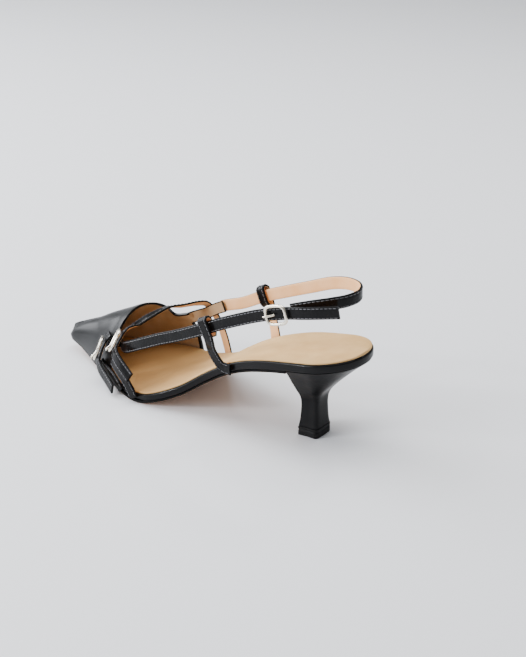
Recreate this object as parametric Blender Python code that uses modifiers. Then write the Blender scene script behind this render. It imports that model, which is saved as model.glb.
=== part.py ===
"""Slingback pump: a left shoe with a pointed toe, a flared heel and three buckled straps.

The shoe is built in metres with +Z up. The origin is the centre of the underside of the heel's
top piece, +X points to the toe and +Y to the outer (lateral) side of the left foot.
"""

import math

import bpy
from mathutils import Vector


# Main sizes of the last and the shoe
SHOE_LENGTH = 0.2500        # back of the heel seat to the toe tip
HEEL_REACH = 0.0355         # back of the heel seat to the centre of the top piece
BALL_WIDTH = 0.0810         # across the ball, outside the upper
SEAT_HEIGHT = 0.0577        # feather line above the floor at the back of the heel
RIDGE_HEIGHT = 0.0460       # ridge of the vamp above the feather line at the throat
HEEL_ROUND = 0.0270         # plan radius of the heel end
TOE_ROUND = 0.0075          # plan radius of the toe tip

# Thicknesses
GAP = 0.0003                # between neighbouring pieces
UPPER_WALL = 0.0015         # leather and lining together
OUTSOLE = 0.0020
BOARD = 0.0055              # covered insole board at the waist
SOCK = 0.0010               # insole sock
STRAP = 0.0016              # a strap's two layers together
OUTSOLE_INSET = 0.0012      # outsole edge inside the outline
EDGE_ROUND = 0.0006         # on the edges of the outsole and the board
SOCK_INSET = 0.0009         # sock edge inside the board's edge

# Heel and top piece
TOP_PIECE_HEIGHT = 0.0065
TIP_LENGTH = 0.0134         # front to back at the floor
TIP_FRONT_WIDTH = 0.0190
TIP_REAR_WIDTH = 0.0148
TIP_TAPER = 0.45            # share of the taper that the straight sides take up
TIP_SQUARENESS = 0.30       # 1 is a round back, smaller is squarer
TIP_CHAMFER = 0.0004        # on the top piece's edges
BREAST_X = 0.0050           # front edge of the heel at the seat
HEEL_INSET = 0.0006         # heel's top edge inside the board's edge

# Straps and buckles
BELT_WIDTH = 0.0075
SLING_WIDTH = 0.0080
SUPPORT_WIDTH = 0.0075
STRAP_SLACK = 0.0007        # extra room between a strap and the wire it passes
WIRE = 0.0020               # buckle wire diameter
SLING_BUCKLE = (0.0140, 0.0114)   # length along the strap, width across it
BELT_BUCKLE = (0.0150, 0.0125)
FRAME_SQUARENESS = 0.55     # 1 is an oval, smaller is squarer
PRONG = 0.0014              # prong wire diameter
LOOP_STEM = 1.5             # where a support's stem meets the carried strap, in its half widths
LOOP_END = ((1.0, 0.8), (0.8, 1.25), (0.4, 1.6))    # its sewn end: offset share, half widths down
SUPPORT_LIFT = 0.0016       # lower end of a support above the feather line
PRONG_START = 0.12          # place where the prong comes out of the strap, a share of the length
PRONG_BEND = 0.20           # place where it starts to rise to the bar, a share too
PRONG_RISE = 0.75           # its height there above the strap, in strap thicknesses
PRONG_OVERHANG = 0.6        # prong's tip past the bar it rests on, in wire diameters
BOARD_LEVELS = (0.2, 0.8)   # height shares between which the board's edge is upright
SLAB_PITCH = 0.0075         # distance between a slab's sections

# The outline from above and the feather line from the side, a row for each section.
# station is a share of the shoe's length from the heel, centre and half are shares of the ball
# width, height is a share of the seat height, and board is a share of the board's thickness.
#         station, centre,  half, height, board
SECTIONS = (
    (0.000, -0.018, 0.326, 1.000, 1.00),
    (0.062, -0.019, 0.331, 0.957, 1.00),
    (0.142, -0.012, 0.335, 0.900, 1.00),
    (0.222, 0.000, 0.329, 0.832, 1.00),
    (0.302, 0.010, 0.302, 0.721, 1.00),
    (0.362, 0.007, 0.292, 0.594, 1.00),
    (0.422, -0.002, 0.316, 0.424, 0.98),
    (0.482, -0.014, 0.392, 0.240, 0.94),
    (0.542, -0.020, 0.464, 0.119, 0.86),
    (0.590, -0.025, 0.498, 0.056, 0.78),
    (0.630, -0.035, 0.509, 0.040, 0.70),
    (0.670, -0.054, 0.492, 0.040, 0.66),
    (0.722, -0.070, 0.442, 0.041, 0.62),
    (0.782, -0.073, 0.362, 0.050, 0.60),
    (0.842, -0.074, 0.272, 0.070, 0.60),
    (0.902, -0.074, 0.184, 0.100, 0.60),
    (0.942, -0.073, 0.136, 0.124, 0.60),
    (1.000, -0.073, 0.088, 0.160, 0.60),
)
STATION, CENTRE, HALF, HEIGHT, BOARD_SHARE = range(5)

# Ridge of the upper above the feather line: station, share of the ridge height
RIDGE = (
    (0.540, 1.170),
    (0.600, 1.130),
    (0.660, 1.060),
    (0.734, 0.990),
    (0.782, 0.862),
    (0.846, 0.668),
    (0.886, 0.525),
    (0.942, 0.325),
    (0.974, 0.228),
    (1.000, 0.148),
)

# Flat stretch of the outsole that stands on the floor, as stations
FLAT_START = 0.600
FLAT_END = 0.715

# Top edge of the upper, from the outer side over the throat to the inner side.
# share runs along the feather line, turn is the angle round the section, in degrees
# from the outer feather edge.  share, station, turn
TOPLINE = (
    (0.00, 0.742, 44.0),
    (0.14, 0.744, 62.0),
    (0.36, 0.741, 84.0),
    (0.48, 0.736, 93.0),
    (0.62, 0.726, 108.0),
    (0.76, 0.716, 125.0),
    (0.88, 0.709, 138.0),
    (1.00, 0.664, 134.0),
)
WING_OUTER = 0.742          # rear end of the outer side of the vamp, a station
WING_INNER = 0.646          # rear end of the inner quarter
BOARD_TUCK = (0.571, 0.612)     # stations over which the board's edge moves inside the upper
UPPER_ROWS = 11
TOE_START = 0.80            # station from which the toe's section gets low and steep
TOE_STEEPNESS = 3.0         # how much faster the toe's wall rises from the feather line
TOE_BULGE = 0.0022          # how far the toe overhangs the feather line
TOE_BULGE_SHARE = 0.40      # share of the wall's width that takes part in the overhang
TOE_TUCK = 0.0030           # extra inset of the board and the sock at the toe tip
STRAP_ROWS = 3              # rows of the inner quarter that run on into the sling

# Heel between the top piece and the seat: height share, stem share, flare share
HEEL_PROFILE = (
    (0.00, 0.97, 0.000),
    (0.05, 0.92, 0.000),
    (0.16, 0.86, 0.000),
    (0.32, 0.83, 0.000),
    (0.42, 0.83, 0.030),
    (0.50, 0.85, 0.110),
    (0.58, 0.90, 0.225),
    (0.68, 0.95, 0.385),
    (0.78, 1.00, 0.560),
    (0.89, 1.00, 0.770),
    (1.00, 1.00, 1.000),
)

# The sling and the side strap stand free. station is a share of the shoe's length, across a
# share of half the ball width from the middle, and up a share of the ridge height above the
# feather line.  station, across, up
QUARTER_TAIL_ROUTE = (
    (0.668, -0.880, 0.645),
    (0.642, -0.922, 0.712),
    (0.610, -0.944, 0.795),
    (0.578, -0.932, 0.870),
    (0.548, -0.908, 0.905),
)
SLING_ROUTE = (
    (0.566, -0.985, 0.890),
    (0.538, -0.944, 0.910),
    (0.472, -0.830, 0.892),
    (0.392, -0.748, 0.822),
    (0.306, -0.649, 0.788),
    (0.222, -0.551, 0.848),
    (0.152, -0.469, 0.944),
    (0.092, -0.365, 0.990),
    (0.042, -0.198, 0.992),
    (0.018, 0.037, 0.978),
    (0.024, 0.284, 0.974),
    (0.054, 0.469, 0.966),
    (0.094, 0.590, 0.944),
    (0.140, 0.684, 0.905),
)
SIDE_STRAP_ROUTE = (
    (0.764, 0.330, 0.492),
    (0.744, 0.362, 0.530),
    (0.692, 0.616, 0.607),
    (0.622, 0.735, 0.798),
    (0.552, 0.759, 0.905),
    (0.482, 0.784, 0.903),
    (0.406, 0.809, 0.815),
    (0.332, 0.809, 0.778),
    (0.252, 0.784, 0.806),
    (0.206, 0.766, 0.836),
    (0.171, 0.752, 0.858),
    (0.136, 0.736, 0.876),
    (0.090, 0.708, 0.888),
    (0.015, 0.600, 0.905),
)

# The belts over the instep follow the last.  turn is the angle round the section from the outer
# feather edge, lift is the distance off the last's face in strap thicknesses, and lean turns the
# strap's face toward the toe; both angles are in degrees.  station, turn, lift, lean
REAR_BELT_ROUTE = (
    (0.546, 178.5, 0.72, 0.0),
    (0.555, 169.0, 0.90, 0.0),
    (0.571, 157.0, 2.10, 0.0),
    (0.593, 147.0, 4.30, 0.0),
    (0.617, 136.2, 6.06, 12.0),
    (0.631, 129.3, 4.01, 18.0),
    (0.647, 117.2, 0.38, 16.0),
    (0.667, 102.1, -1.22, 7.0),
    (0.694, 81.6, -3.47, 2.0),
    (0.711, 62.9, -3.08, 5.0),
    (0.711, 54.8, -1.04, 15.0),
    (0.707, 47.5, 1.10, 27.0),
    (0.710, 38.4, 1.45, 33.0),
    (0.711, 32.0, 1.85, 22.0),
    (0.689, 28.1, 3.05, 4.0),
    (0.655, 23.3, 2.68, -8.0),
    (0.620, 17.6, 2.46, -12.0),
)
FRONT_BELT_ROUTE = (
    (0.766, 43.2, 1.00, 9.0),
    (0.769, 40.6, 1.15, 14.0),
    (0.771, 37.4, 1.35, 20.0),
    (0.772, 31.9, 1.75, 30.0),
    (0.773, 26.7, 2.05, 34.0),
    (0.776, 19.7, 2.55, 24.0),
    (0.777, 15.3, 2.75, 10.0),
    (0.755, 9.8, 3.10, 0.0),
    (0.719, 6.4, 3.20, 0.0),
    (0.679, 3.4, 3.60, 0.0),
)
REAR_ANCHOR_ROUTE = (
    (0.618, 1.4, -0.20, 0.0),
    (0.628, 7.0, 0.20, 0.0),
    (0.653, 13.5, 0.60, 0.0),
    (0.687, 18.0, 0.85, 0.0),
    (0.710, 20.5, 0.85, 5.0),
    (0.723, 22.4, 0.85, 9.0),
)
FRONT_ANCHOR_ROUTE = (
    (0.675, 1.5, -0.20, 0.0),
    (0.690, 6.0, 0.60, 0.0),
    (0.715, 8.5, 0.75, 0.0),
    (0.750, 10.0, 0.75, 0.0),
    (0.768, 11.0, 0.75, 0.0),
    (0.782, 13.0, 0.75, 0.0),
)

# Support straps that stand on the board's edge and loop round a strap above it.  foot, rim and
# loop are stations of the lower end, of the board's top edge and of the loop, and bow is how far
# the stem curves toward the toe.  name, side, foot, rim, loop, bow, strap it carries
SUPPORTS = (
    ("outer_support", 1.0, 0.330, 0.362, 0.373, 0.0020, "side_strap"),
    ("inner_support", -1.0, 0.340, 0.340, 0.394, 0.0, "sling_strap"),
)
# Buckles.  row is the row of the strap's route at the buckle's middle.  first and second say
# whether the bar that the strap meets first and second is over the strap, 1, or under it, -1, and
# tip which bar the prong rests on.  name, strap, row, size, first, second, tip
BUCKLES = (
    ("sling_buckle", "side_strap", 10, SLING_BUCKLE, 1.0, 1.0, -1.0),
    ("rear_buckle", "rear_belt", 12, BELT_BUCKLE, 1.0, 1.0, 1.0),
    ("front_buckle", "front_belt", 4, BELT_BUCKLE, 1.0, 1.0, 1.0),
)
SAMPLES = 3                 # points for each row of a route

# Colours, roughness and metallic value of each material
FINISHES = {
    "patent_black": ((0.008, 0.008, 0.009), 0.16, 0.0),
    "smooth_black": ((0.014, 0.014, 0.015), 0.30, 0.0),
    "lining_tan": ((0.55, 0.37, 0.23), 0.60, 0.0),
    "outsole_beige": ((0.56, 0.40, 0.30), 0.50, 0.0),
    "rubber_black": ((0.012, 0.012, 0.012), 0.60, 0.0),
    "pale_metal": ((0.78, 0.76, 0.70), 0.20, 1.0),
}


def smooth_value(table, column, at):
    """Reads one column of a table at a share, on a smooth curve through its rows."""
    at = min(max(at, table[0][0]), table[-1][0])
    last = len(table) - 1
    index = 0
    while index < last - 1 and at > table[index + 1][0]:
        index += 1

    def slope(row):
        low, high = max(row - 1, 0), min(row + 1, last)
        return (table[high][column] - table[low][column]) / (table[high][0] - table[low][0])

    start, end = table[index], table[index + 1]
    span = end[0] - start[0]
    t = (at - start[0]) / span
    h00 = 2 * t ** 3 - 3 * t ** 2 + 1
    h10 = t ** 3 - 2 * t ** 2 + t
    h01 = -2 * t ** 3 + 3 * t ** 2
    h11 = t ** 3 - t ** 2
    return (h00 * start[column] + h10 * span * slope(index)
            + h01 * end[column] + h11 * span * slope(index + 1))


def x_at(station):
    """Place along the shoe of a station."""
    return station * SHOE_LENGTH - HEEL_REACH


def station_at(x):
    """Station of a place along the shoe."""
    return (x + HEEL_REACH) / SHOE_LENGTH


def centre_line(station):
    """Middle of the outline, seen from above."""
    return smooth_value(SECTIONS, CENTRE, station) * BALL_WIDTH


def end_round(distance, radius):
    """Share of the full width left where an end is rounded."""
    if distance >= radius:
        return 1.0
    return math.sqrt(max(0.0, 1.0 - ((radius - distance) / radius) ** 2))


def half_width(station):
    """Half of the outline's width, with both ends rounded."""
    from_heel = station * SHOE_LENGTH
    from_toe = SHOE_LENGTH - from_heel
    full = smooth_value(SECTIONS, HALF, station) * BALL_WIDTH
    return full * end_round(from_heel, HEEL_ROUND) * end_round(from_toe, TOE_ROUND)


def feather(station):
    """Height of the feather line, where the upper meets the sole."""
    base = OUTSOLE + GAP
    if FLAT_START <= station <= FLAT_END:
        return base
    return max(base, smooth_value(SECTIONS, HEIGHT, station) * SEAT_HEIGHT)


def board_top(station):
    """Height of the covered board's top face."""
    return feather(station) + smooth_value(SECTIONS, BOARD_SHARE, station) * BOARD


def outline_point(station, side):
    """Point of the outline from above; side is 1 on the outer side and -1 on the inner."""
    return Vector((x_at(station), centre_line(station) + side * half_width(station), 0.0))


def outline_normal(station, side):
    """Outward direction of the outline from above."""
    step = 0.002
    low, high = max(station - step, 0.0), min(station + step, 1.0)
    along = outline_point(high, side) - outline_point(low, side)
    if station <= 0.0:
        return Vector((-1.0, 0.0, 0.0))
    if station >= 1.0:
        return Vector((1.0, 0.0, 0.0))
    return Vector((-side * along.y, side * along.x, 0.0)).normalized()


def stations_between(start, end):
    """Stations for a slab, closer together where an end is rounded."""
    heel_end, toe_start = HEEL_ROUND / SHOE_LENGTH, 1.0 - 2.0 * TOE_ROUND / SHOE_LENGTH
    found = []
    if start <= 0.0:
        found += [heel_end * (1.0 - math.cos(math.radians(a))) for a in range(0, 90, 11)]
        start = heel_end
    middle = toe_start if end >= 1.0 else end
    count = max(2, round((middle - start) * SHOE_LENGTH / SLAB_PITCH))
    found += [start + (middle - start) * i / count for i in range(count)]
    if end >= 1.0:
        found += [toe_start + (1.0 - toe_start) * math.sin(math.radians(a)) for a in range(0, 91, 15)]
    else:
        found.append(end)
    return found


def finish(name):
    """Material of a name in FINISHES."""
    material = bpy.data.materials.get(name)
    if material is None:
        colour, roughness, metallic = FINISHES[name]
        material = bpy.data.materials.new(name)
        material.use_nodes = True
        shader = material.node_tree.nodes["Principled BSDF"]
        shader.inputs["Base Color"].default_value = (*colour, 1.0)
        shader.inputs["Roughness"].default_value = roughness
        shader.inputs["Metallic"].default_value = metallic
        material.diffuse_color = (*colour, 1.0)
    return material


def add_mesh(name, points, faces, look, smooth_angle=40.0):
    """Links a new mesh object with its own material."""
    mesh = bpy.data.meshes.new(name)
    mesh.from_pydata([tuple(p) for p in points], [], faces)
    mesh.validate()
    obj = bpy.data.objects.new(name, mesh)
    bpy.data.collections["slingback_pump"].objects.link(obj)
    material = finish(look).copy()
    material.name = f"{name}_{look}"
    mesh.materials.append(material)
    mesh.shade_smooth()
    mesh.set_sharp_from_angle(angle=math.radians(smooth_angle))
    return obj


def add_loft(name, rings, ladder, look):
    """Closed loft through rings of equal length, with a ladder of faces on both ends.

    ladder pairs the ring's points from one side to the other; a single point has no pair.
    """
    size = len(rings[0])
    points = [p for ring in rings for p in ring]
    faces = []
    for level in range(len(rings) - 1):
        low, high = level * size, (level + 1) * size
        for i in range(size):
            j = (i + 1) % size
            faces.append((low + i, low + j, high + j, high + i))
    top = (len(rings) - 1) * size
    for (a, b), (c, d) in zip(ladder, ladder[1:]):
        for base, flip in ((0, True), (top, False)):
            face = []
            for i in (a, c, d, b):
                if base + i not in face:
                    face.append(base + i)
            faces.append(tuple(reversed(face)) if flip else tuple(face))
    return add_mesh(name, points, faces, look)


def slab(name, stations, levels, look):
    """Slab with the shoe's outline; levels are (inset, height) functions of the station."""
    outer = [(s, 1.0) for s in stations]
    inner = [(s, -1.0) for s in reversed(stations)]
    closed_heel, closed_toe = stations[0] <= 0.0, stations[-1] >= 1.0
    if closed_toe:
        inner = inner[1:]
    if closed_heel:
        inner = inner[:-1]
    loop = outer + inner
    count = len(stations)
    ladder = []
    for i in range(count):
        partner = len(loop) - i if closed_heel else len(loop) - 1 - i
        if (closed_heel and i == 0) or (closed_toe and i == count - 1):
            partner = i
        ladder.append((i, partner))
    rings = []
    for inset, height in levels:
        ring = []
        for s, side in loop:
            point = outline_point(s, side) - outline_normal(s, side) * inset(s)
            ring.append(Vector((point.x, point.y, height(s))))
        rings.append(ring)
    # the outer side runs to the toe, so the loop is clockwise from above
    rings.reverse()
    return add_loft(name, rings, ladder, look)


def toe_share(station):
    """Grows from 0 where the toe starts to 1 at its tip."""
    return max(0.0, (station - TOE_START) / (1.0 - TOE_START)) ** 2


def board_inset(station):
    """The board's edge shows at the waist and heel, and lies inside the upper at the front."""
    start, end = BOARD_TUCK
    t = min(max((station - start) / (end - start), 0.0), 1.0)
    return (UPPER_WALL + GAP) * t * t * (3.0 - 2.0 * t) + TOE_TUCK * toe_share(station)


def outsole_inset(station):
    """The outsole's edge lies inside the outline, further in under the toe's overhang."""
    return OUTSOLE_INSET + TOE_TUCK / 2 * toe_share(station)


def build_sole():
    """Outsole, covered insole board and insole sock."""
    edge = EDGE_ROUND
    whole = stations_between(0.0, 1.0)
    breast = station_at(BREAST_X + 3.0 * GAP)
    front = [breast] + [s for s in whole if s > breast + GAP / SHOE_LENGTH]
    slab("outsole", front, [
        (lambda s: outsole_inset(s) + edge, lambda s: feather(s) - GAP - OUTSOLE),
        (outsole_inset, lambda s: feather(s) - GAP - OUTSOLE + edge),
        (outsole_inset, lambda s: feather(s) - GAP),
    ], "outsole_beige")
    slab("covered_board", whole, [
        (lambda s: board_inset(s) + edge, feather),
        (board_inset, lambda s: feather(s) + (board_top(s) - feather(s)) * BOARD_LEVELS[0]),
        (board_inset, lambda s: feather(s) + (board_top(s) - feather(s)) * BOARD_LEVELS[1]),
        (lambda s: board_inset(s) + edge, board_top),
    ], "patent_black")
    slab("insole_sock", whole, [
        (lambda s: board_inset(s) + SOCK_INSET, lambda s: board_top(s) + GAP),
        (lambda s: board_inset(s) + SOCK_INSET, lambda s: board_top(s) + GAP + SOCK),
    ], "lining_tan")


def heel_loops():
    """Matching loops of the heel tip and of the heel seat, from the outer front corner."""
    back = station_at(-HEEL_REACH + HEEL_ROUND)
    front = station_at(BREAST_X)
    side_steps, arc_steps = 3, 9
    tip, seat = [], []
    for side in (1.0, -1.0):
        half_tip, half_seat = [], []
        for i in range(side_steps):
            t = i / side_steps
            width = TIP_FRONT_WIDTH - (TIP_FRONT_WIDTH - TIP_REAR_WIDTH) * TIP_TAPER * t
            half_tip.append(Vector((TIP_LENGTH / 2 * (1.0 - t), side * width / 2, 0.0)))
            s = front + (back - front) * t
            half_seat.append(outline_point(s, side) - outline_normal(s, side) * HEEL_INSET)
        for i in range(arc_steps + 1):
            angle = math.radians(90.0 * i / arc_steps)
            x = -TIP_LENGTH / 2 * math.sin(angle) ** TIP_SQUARENESS
            wide = TIP_REAR_WIDTH
            wide += (TIP_FRONT_WIDTH - TIP_REAR_WIDTH) * (1.0 - TIP_TAPER) * math.cos(angle)
            y = side * wide / 2 * max(math.cos(angle), 0.0) ** TIP_SQUARENESS
            half_tip.append(Vector((x, y, 0.0)))
            s = back * (1.0 - math.sin(angle))
            half_seat.append(outline_point(s, side) - outline_normal(s, side) * HEEL_INSET)
        if side > 0:
            tip += half_tip
            seat += half_seat
        else:
            tip += list(reversed(half_tip))[1:]
            seat += list(reversed(half_seat))[1:]
    return tip, seat


def heel_ladder(count):
    """Pairs the heel loop's points across the shoe."""
    half = count // 2
    return [(i, count - 1 - i) for i in range(half)] + [(half, half)]


def build_heel():
    """Flared heel with its top piece."""
    tip, seat = heel_loops()
    ladder = heel_ladder(len(tip))
    flat = []
    for z, shrink in ((0.0, TIP_CHAMFER), (TIP_CHAMFER, 0.0), (TOP_PIECE_HEIGHT - TIP_CHAMFER, 0.0),
                      (TOP_PIECE_HEIGHT, TIP_CHAMFER)):
        factor = 1.0 - 2.0 * shrink / TIP_LENGTH
        flat.append([Vector((p.x * factor, p.y * factor, z)) for p in tip])
    add_loft("top_piece", flat, ladder, "rubber_black")
    floor = TOP_PIECE_HEIGHT + GAP
    rings = []
    for share, stem, flare in HEEL_PROFILE:
        ring = []
        for low, high in zip(tip, seat):
            ceiling = feather(station_at(high.x)) - GAP
            x = low.x * stem * (1.0 - flare) + high.x * flare
            y = low.y * stem * (1.0 - flare) + high.y * flare
            ring.append(Vector((x, y, floor + (ceiling - floor) * share)))
        rings.append(ring)
    add_loft("heel", rings, ladder, "patent_black")


def upper_point(station, turn):
    """Point of the upper's outer face at a station and an angle round its section."""
    angle = math.radians(turn)
    ridge = smooth_value(RIDGE, 1, station) * RIDGE_HEIGHT
    y = centre_line(station) + half_width(station) * math.cos(angle)
    return Vector((x_at(station), y, feather(station) + ridge * math.sin(angle)))


def feather_path():
    """Places along the upper's lower edge: (share, station, turn)."""
    toe_start = 1.0 - 2.0 * TOE_ROUND / SHOE_LENGTH
    outer = [WING_OUTER + (toe_start - WING_OUTER) * i / 9 for i in range(9)]
    tip = [toe_start + (1.0 - toe_start) * math.sin(math.radians(a)) for a in range(0, 90, 15)]
    inner = [WING_INNER + (toe_start - WING_INNER) * i / 13 for i in range(13)]
    path = [(s, 0.0) for s in outer + tip] + [(1.0, 90.0)]
    path += [(s, 180.0) for s in reversed(inner + tip)]
    return [(i / (len(path) - 1), s, turn) for i, (s, turn) in enumerate(path)]


def build_upper(sling_root):
    """Vamp and inner quarter in one wall, running on into the start of the sling."""
    columns = []
    for share, foot, side_turn in feather_path():
        top = smooth_value(TOPLINE, 1, share)
        top_turn = smooth_value(TOPLINE, 2, share)
        bend = 1.0 + TOE_STEEPNESS * toe_share(foot)
        outward = Vector((1.0, 0.0, 0.0))
        if side_turn != 90.0:
            outward = outline_normal(foot, 1.0 if side_turn == 0.0 else -1.0)
        column = []
        for row in range(UPPER_ROWS + 1):
            t = row / UPPER_ROWS
            rise = 1.0 - (1.0 - t) ** bend
            start_turn = side_turn if side_turn != 90.0 else top_turn
            turn = start_turn + (top_turn - start_turn) * rise
            point = upper_point(foot + (top - foot) * t, turn)
            swell = math.sin(math.pi * min(1.0, t / TOE_BULGE_SHARE))
            point += outward * TOE_BULGE * toe_share(foot) * swell
            if side_turn == 90.0:
                point.z = feather(foot) if row == 0 else point.z
            column.append(point)
        columns.append(column)
    points = [p for column in columns for p in column]
    size = UPPER_ROWS + 1
    faces = []
    for c in range(len(columns) - 1):
        for r in range(UPPER_ROWS):
            a = c * size + r
            faces.append((a, a + 1, a + size + 1, a + size))
    previous = [(len(columns) - 1) * size + UPPER_ROWS - STRAP_ROWS + i for i in range(STRAP_ROWS + 1)]
    for low, high in sling_root:
        current = []
        for i in range(STRAP_ROWS + 1):
            points.append(low.lerp(high, i / STRAP_ROWS))
            current.append(len(points) - 1)
        for i in range(STRAP_ROWS):
            faces.append((previous[i], previous[i + 1], current[i + 1], current[i]))
        previous = current
    upper = add_mesh("upper", points, faces, "smooth_black")
    solid = upper.modifiers.new("wall", "SOLIDIFY")
    solid.thickness = UPPER_WALL
    solid.offset = -1.0
    solid.use_even_offset = True


def standing_point(row):
    """Point of a route that stands free of the last."""
    station, across, up = row
    return Vector((x_at(station), across * BALL_WIDTH / 2, feather(station) + up * RIDGE_HEIGHT))


def last_normal(station, turn):
    """Outward direction of the last at a station and an angle round its section."""
    step = 0.004
    along = upper_point(station + step, turn) - upper_point(station - step, turn)
    around = upper_point(station, turn + 1.0) - upper_point(station, turn - 1.0)
    return around.cross(along).normalized()


def smooth_route(knots, steps=SAMPLES):
    """Points on a smooth curve through a route's points."""
    found = []
    for i in range(len(knots) - 1):
        before, start = knots[max(i - 1, 0)], knots[i]
        end, after = knots[i + 1], knots[min(i + 2, len(knots) - 1)]
        for k in range(steps):
            t = k / steps
            found.append(0.5 * ((2.0 * start) + (end - before) * t
                                + (2.0 * before - 5.0 * start + 4.0 * end - after) * t ** 2
                                + (3.0 * start - before - 3.0 * end + after) * t ** 3))
    found.append(knots[-1])
    return found


def tangents(points):
    """Unit direction along a list of points."""
    last = len(points) - 1
    return [(points[min(i + 1, last)] - points[max(i - 1, 0)]).normalized() for i in range(last + 1)]


def level_outward(point, along):
    """Facing of a standing strap: level, and away from the middle of the foot."""
    out = Vector((along.y, -along.x, 0.0)).normalized()
    middle = Vector((max(point.x, 0.0), 0.0, point.z))
    return out if out.dot(point - middle) >= 0.0 else -out


def standing_route(rows, steps=SAMPLES):
    """Points and facings of a strap that stands free of the last."""
    points = smooth_route([standing_point(row) for row in rows], steps)
    return points, [level_outward(p, along) for p, along in zip(points, tangents(points))]


def last_route(rows):
    """Points and facings of a strap that follows the last."""
    points, facings = [], []
    for station, turn, lift, lean in rows:
        normal = last_normal(station, turn)
        points.append(upper_point(station, turn) + normal * lift * STRAP)
        lean = math.radians(lean)
        facings.append(normal * math.cos(lean) + Vector((math.sin(lean), 0.0, 0.0)))
    return smooth_route(points), [facing.normalized() for facing in smooth_route(facings)]


def edge_pairs(points, facings, width):
    """Both edges of a strap at each point."""
    pairs = []
    for point, along, facing in zip(points, tangents(points), facings):
        across = along.cross(facing).normalized()
        pairs.append((point - across * width / 2, point + across * width / 2))
    return pairs


def strap_body(name, points, facings, width, look="patent_black"):
    """Flat strap along a route, solidified about its middle."""
    pairs = edge_pairs(points, facings, width)
    faces = [(2 * i, 2 * i + 2, 2 * i + 3, 2 * i + 1) for i in range(len(pairs) - 1)]
    strap = add_mesh(name, [p for pair in pairs for p in pair], faces, look)
    solid = strap.modifiers.new("leather", "SOLIDIFY")
    solid.thickness = STRAP
    solid.offset = 0.0


def rim_place(station, side, height):
    """Place of a support strap's middle beside the board's edge, at a height."""
    outward = outline_normal(station, side) * (GAP + STRAP / 2 + STRAP_SLACK)
    return outline_point(station, side) + outward + Vector((0.0, 0.0, height))


def support_strap(name, side, foot, rim, loop, bow, carried):
    """Strap from the board's edge that loops round another strap and ends behind its own stem."""
    middle = min(range(len(carried)), key=lambda i: abs(carried[i].x - x_at(loop)))
    centre, along = carried[middle], tangents(carried)[middle]
    out = level_outward(centre, along)
    up = out.cross(along).normalized()
    if up.z < 0.0:
        up = -up
    off = STRAP + GAP + STRAP_SLACK
    half = SLING_WIDTH / 2

    def beside(outward, upward):
        return centre + out * outward + up * upward

    low = rim_place(foot, side, feather(foot) + SUPPORT_LIFT)
    high = rim_place(rim, side, board_top(rim) + SOCK)
    stem = beside(off, -half * LOOP_STEM)
    middle_stem = (high + stem) / 2 + Vector((bow, 0.0, 0.0))
    at_rim = outline_normal(rim, side)
    knots = [low, high, middle_stem, stem]
    facings = [outline_normal(foot, side), at_rim, (at_rim + out).normalized(), out]
    for angle in range(0, 181, 30):
        turn = math.radians(angle)
        knots.append(beside(off * math.cos(turn), half + off * math.sin(turn)))
        facings.append(out * math.cos(turn) + up * math.sin(turn))
    knots += [beside(-off * share, -half * down) for share, down in LOOP_END]
    facings += [-out for _ in LOOP_END]
    points = smooth_route(knots, 2)
    strap_body(name, points, [f.normalized() for f in smooth_route(facings, 2)], SUPPORT_WIDTH)


def wire_body(name, points, radius, cyclic):
    """Round metal wire through a list of points."""
    curve = bpy.data.curves.new(name, "CURVE")
    curve.dimensions = "3D"
    curve.bevel_depth = radius
    curve.bevel_resolution = 2
    curve.use_fill_caps = not cyclic
    spline = curve.splines.new("POLY")
    spline.points.add(len(points) - 1)
    for target, point in zip(spline.points, points):
        target.co = (*point, 1.0)
    spline.use_cyclic_u = cyclic
    obj = bpy.data.objects.new(name, curve)
    bpy.data.collections["slingback_pump"].objects.link(obj)
    material = finish("pale_metal").copy()
    material.name = f"{name}_pale_metal"
    curve.materials.append(material)


def buckle(name, points, facings, row, size, first, second, tip):
    """Frame and prong round a strap at one row of its route.

    first and second place the frame's two bars over the strap, 1, or under it, -1.  The prong
    lies on the strap and its tip rests on the bar at the tip's side.
    """
    at = row * SAMPLES
    centre, along = points[at], (points[at + 2] - points[at - 2]).normalized()
    out = (facings[at] - along * facings[at].dot(along)).normalized()
    across = along.cross(out).normalized()
    length, width = size
    swing = STRAP / 2 + GAP + STRAP_SLACK + WIRE / 2

    def place(a, b, c):
        return centre + along * a + across * b + out * c

    frame = []
    count = 28
    for i in range(count):
        turn = 2.0 * math.pi * i / count
        a = math.copysign(abs(math.cos(turn)) ** FRAME_SQUARENESS, math.cos(turn)) * length / 2
        b = math.copysign(abs(math.sin(turn)) ** FRAME_SQUARENESS, math.sin(turn)) * width / 2
        share = a / length + 0.5
        frame.append(place(a, b, swing * (first + (second - first) * share)))
    wire_body(f"{name}_frame", frame, WIRE / 2, True)
    lie = STRAP / 2 + GAP + PRONG / 2
    rest = swing + WIRE / 2 + GAP + PRONG / 2
    over = length / 2 + WIRE * PRONG_OVERHANG
    prong = [place(tip * length * PRONG_START, 0.0, lie + GAP),
             place(tip * length * PRONG_BEND, 0.0, lie + STRAP * PRONG_RISE),
             place(tip * length / 2, 0.0, rest), place(tip * over, 0.0, rest - GAP)]
    wire_body(f"{name}_prong", prong, PRONG / 2, False)


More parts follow.
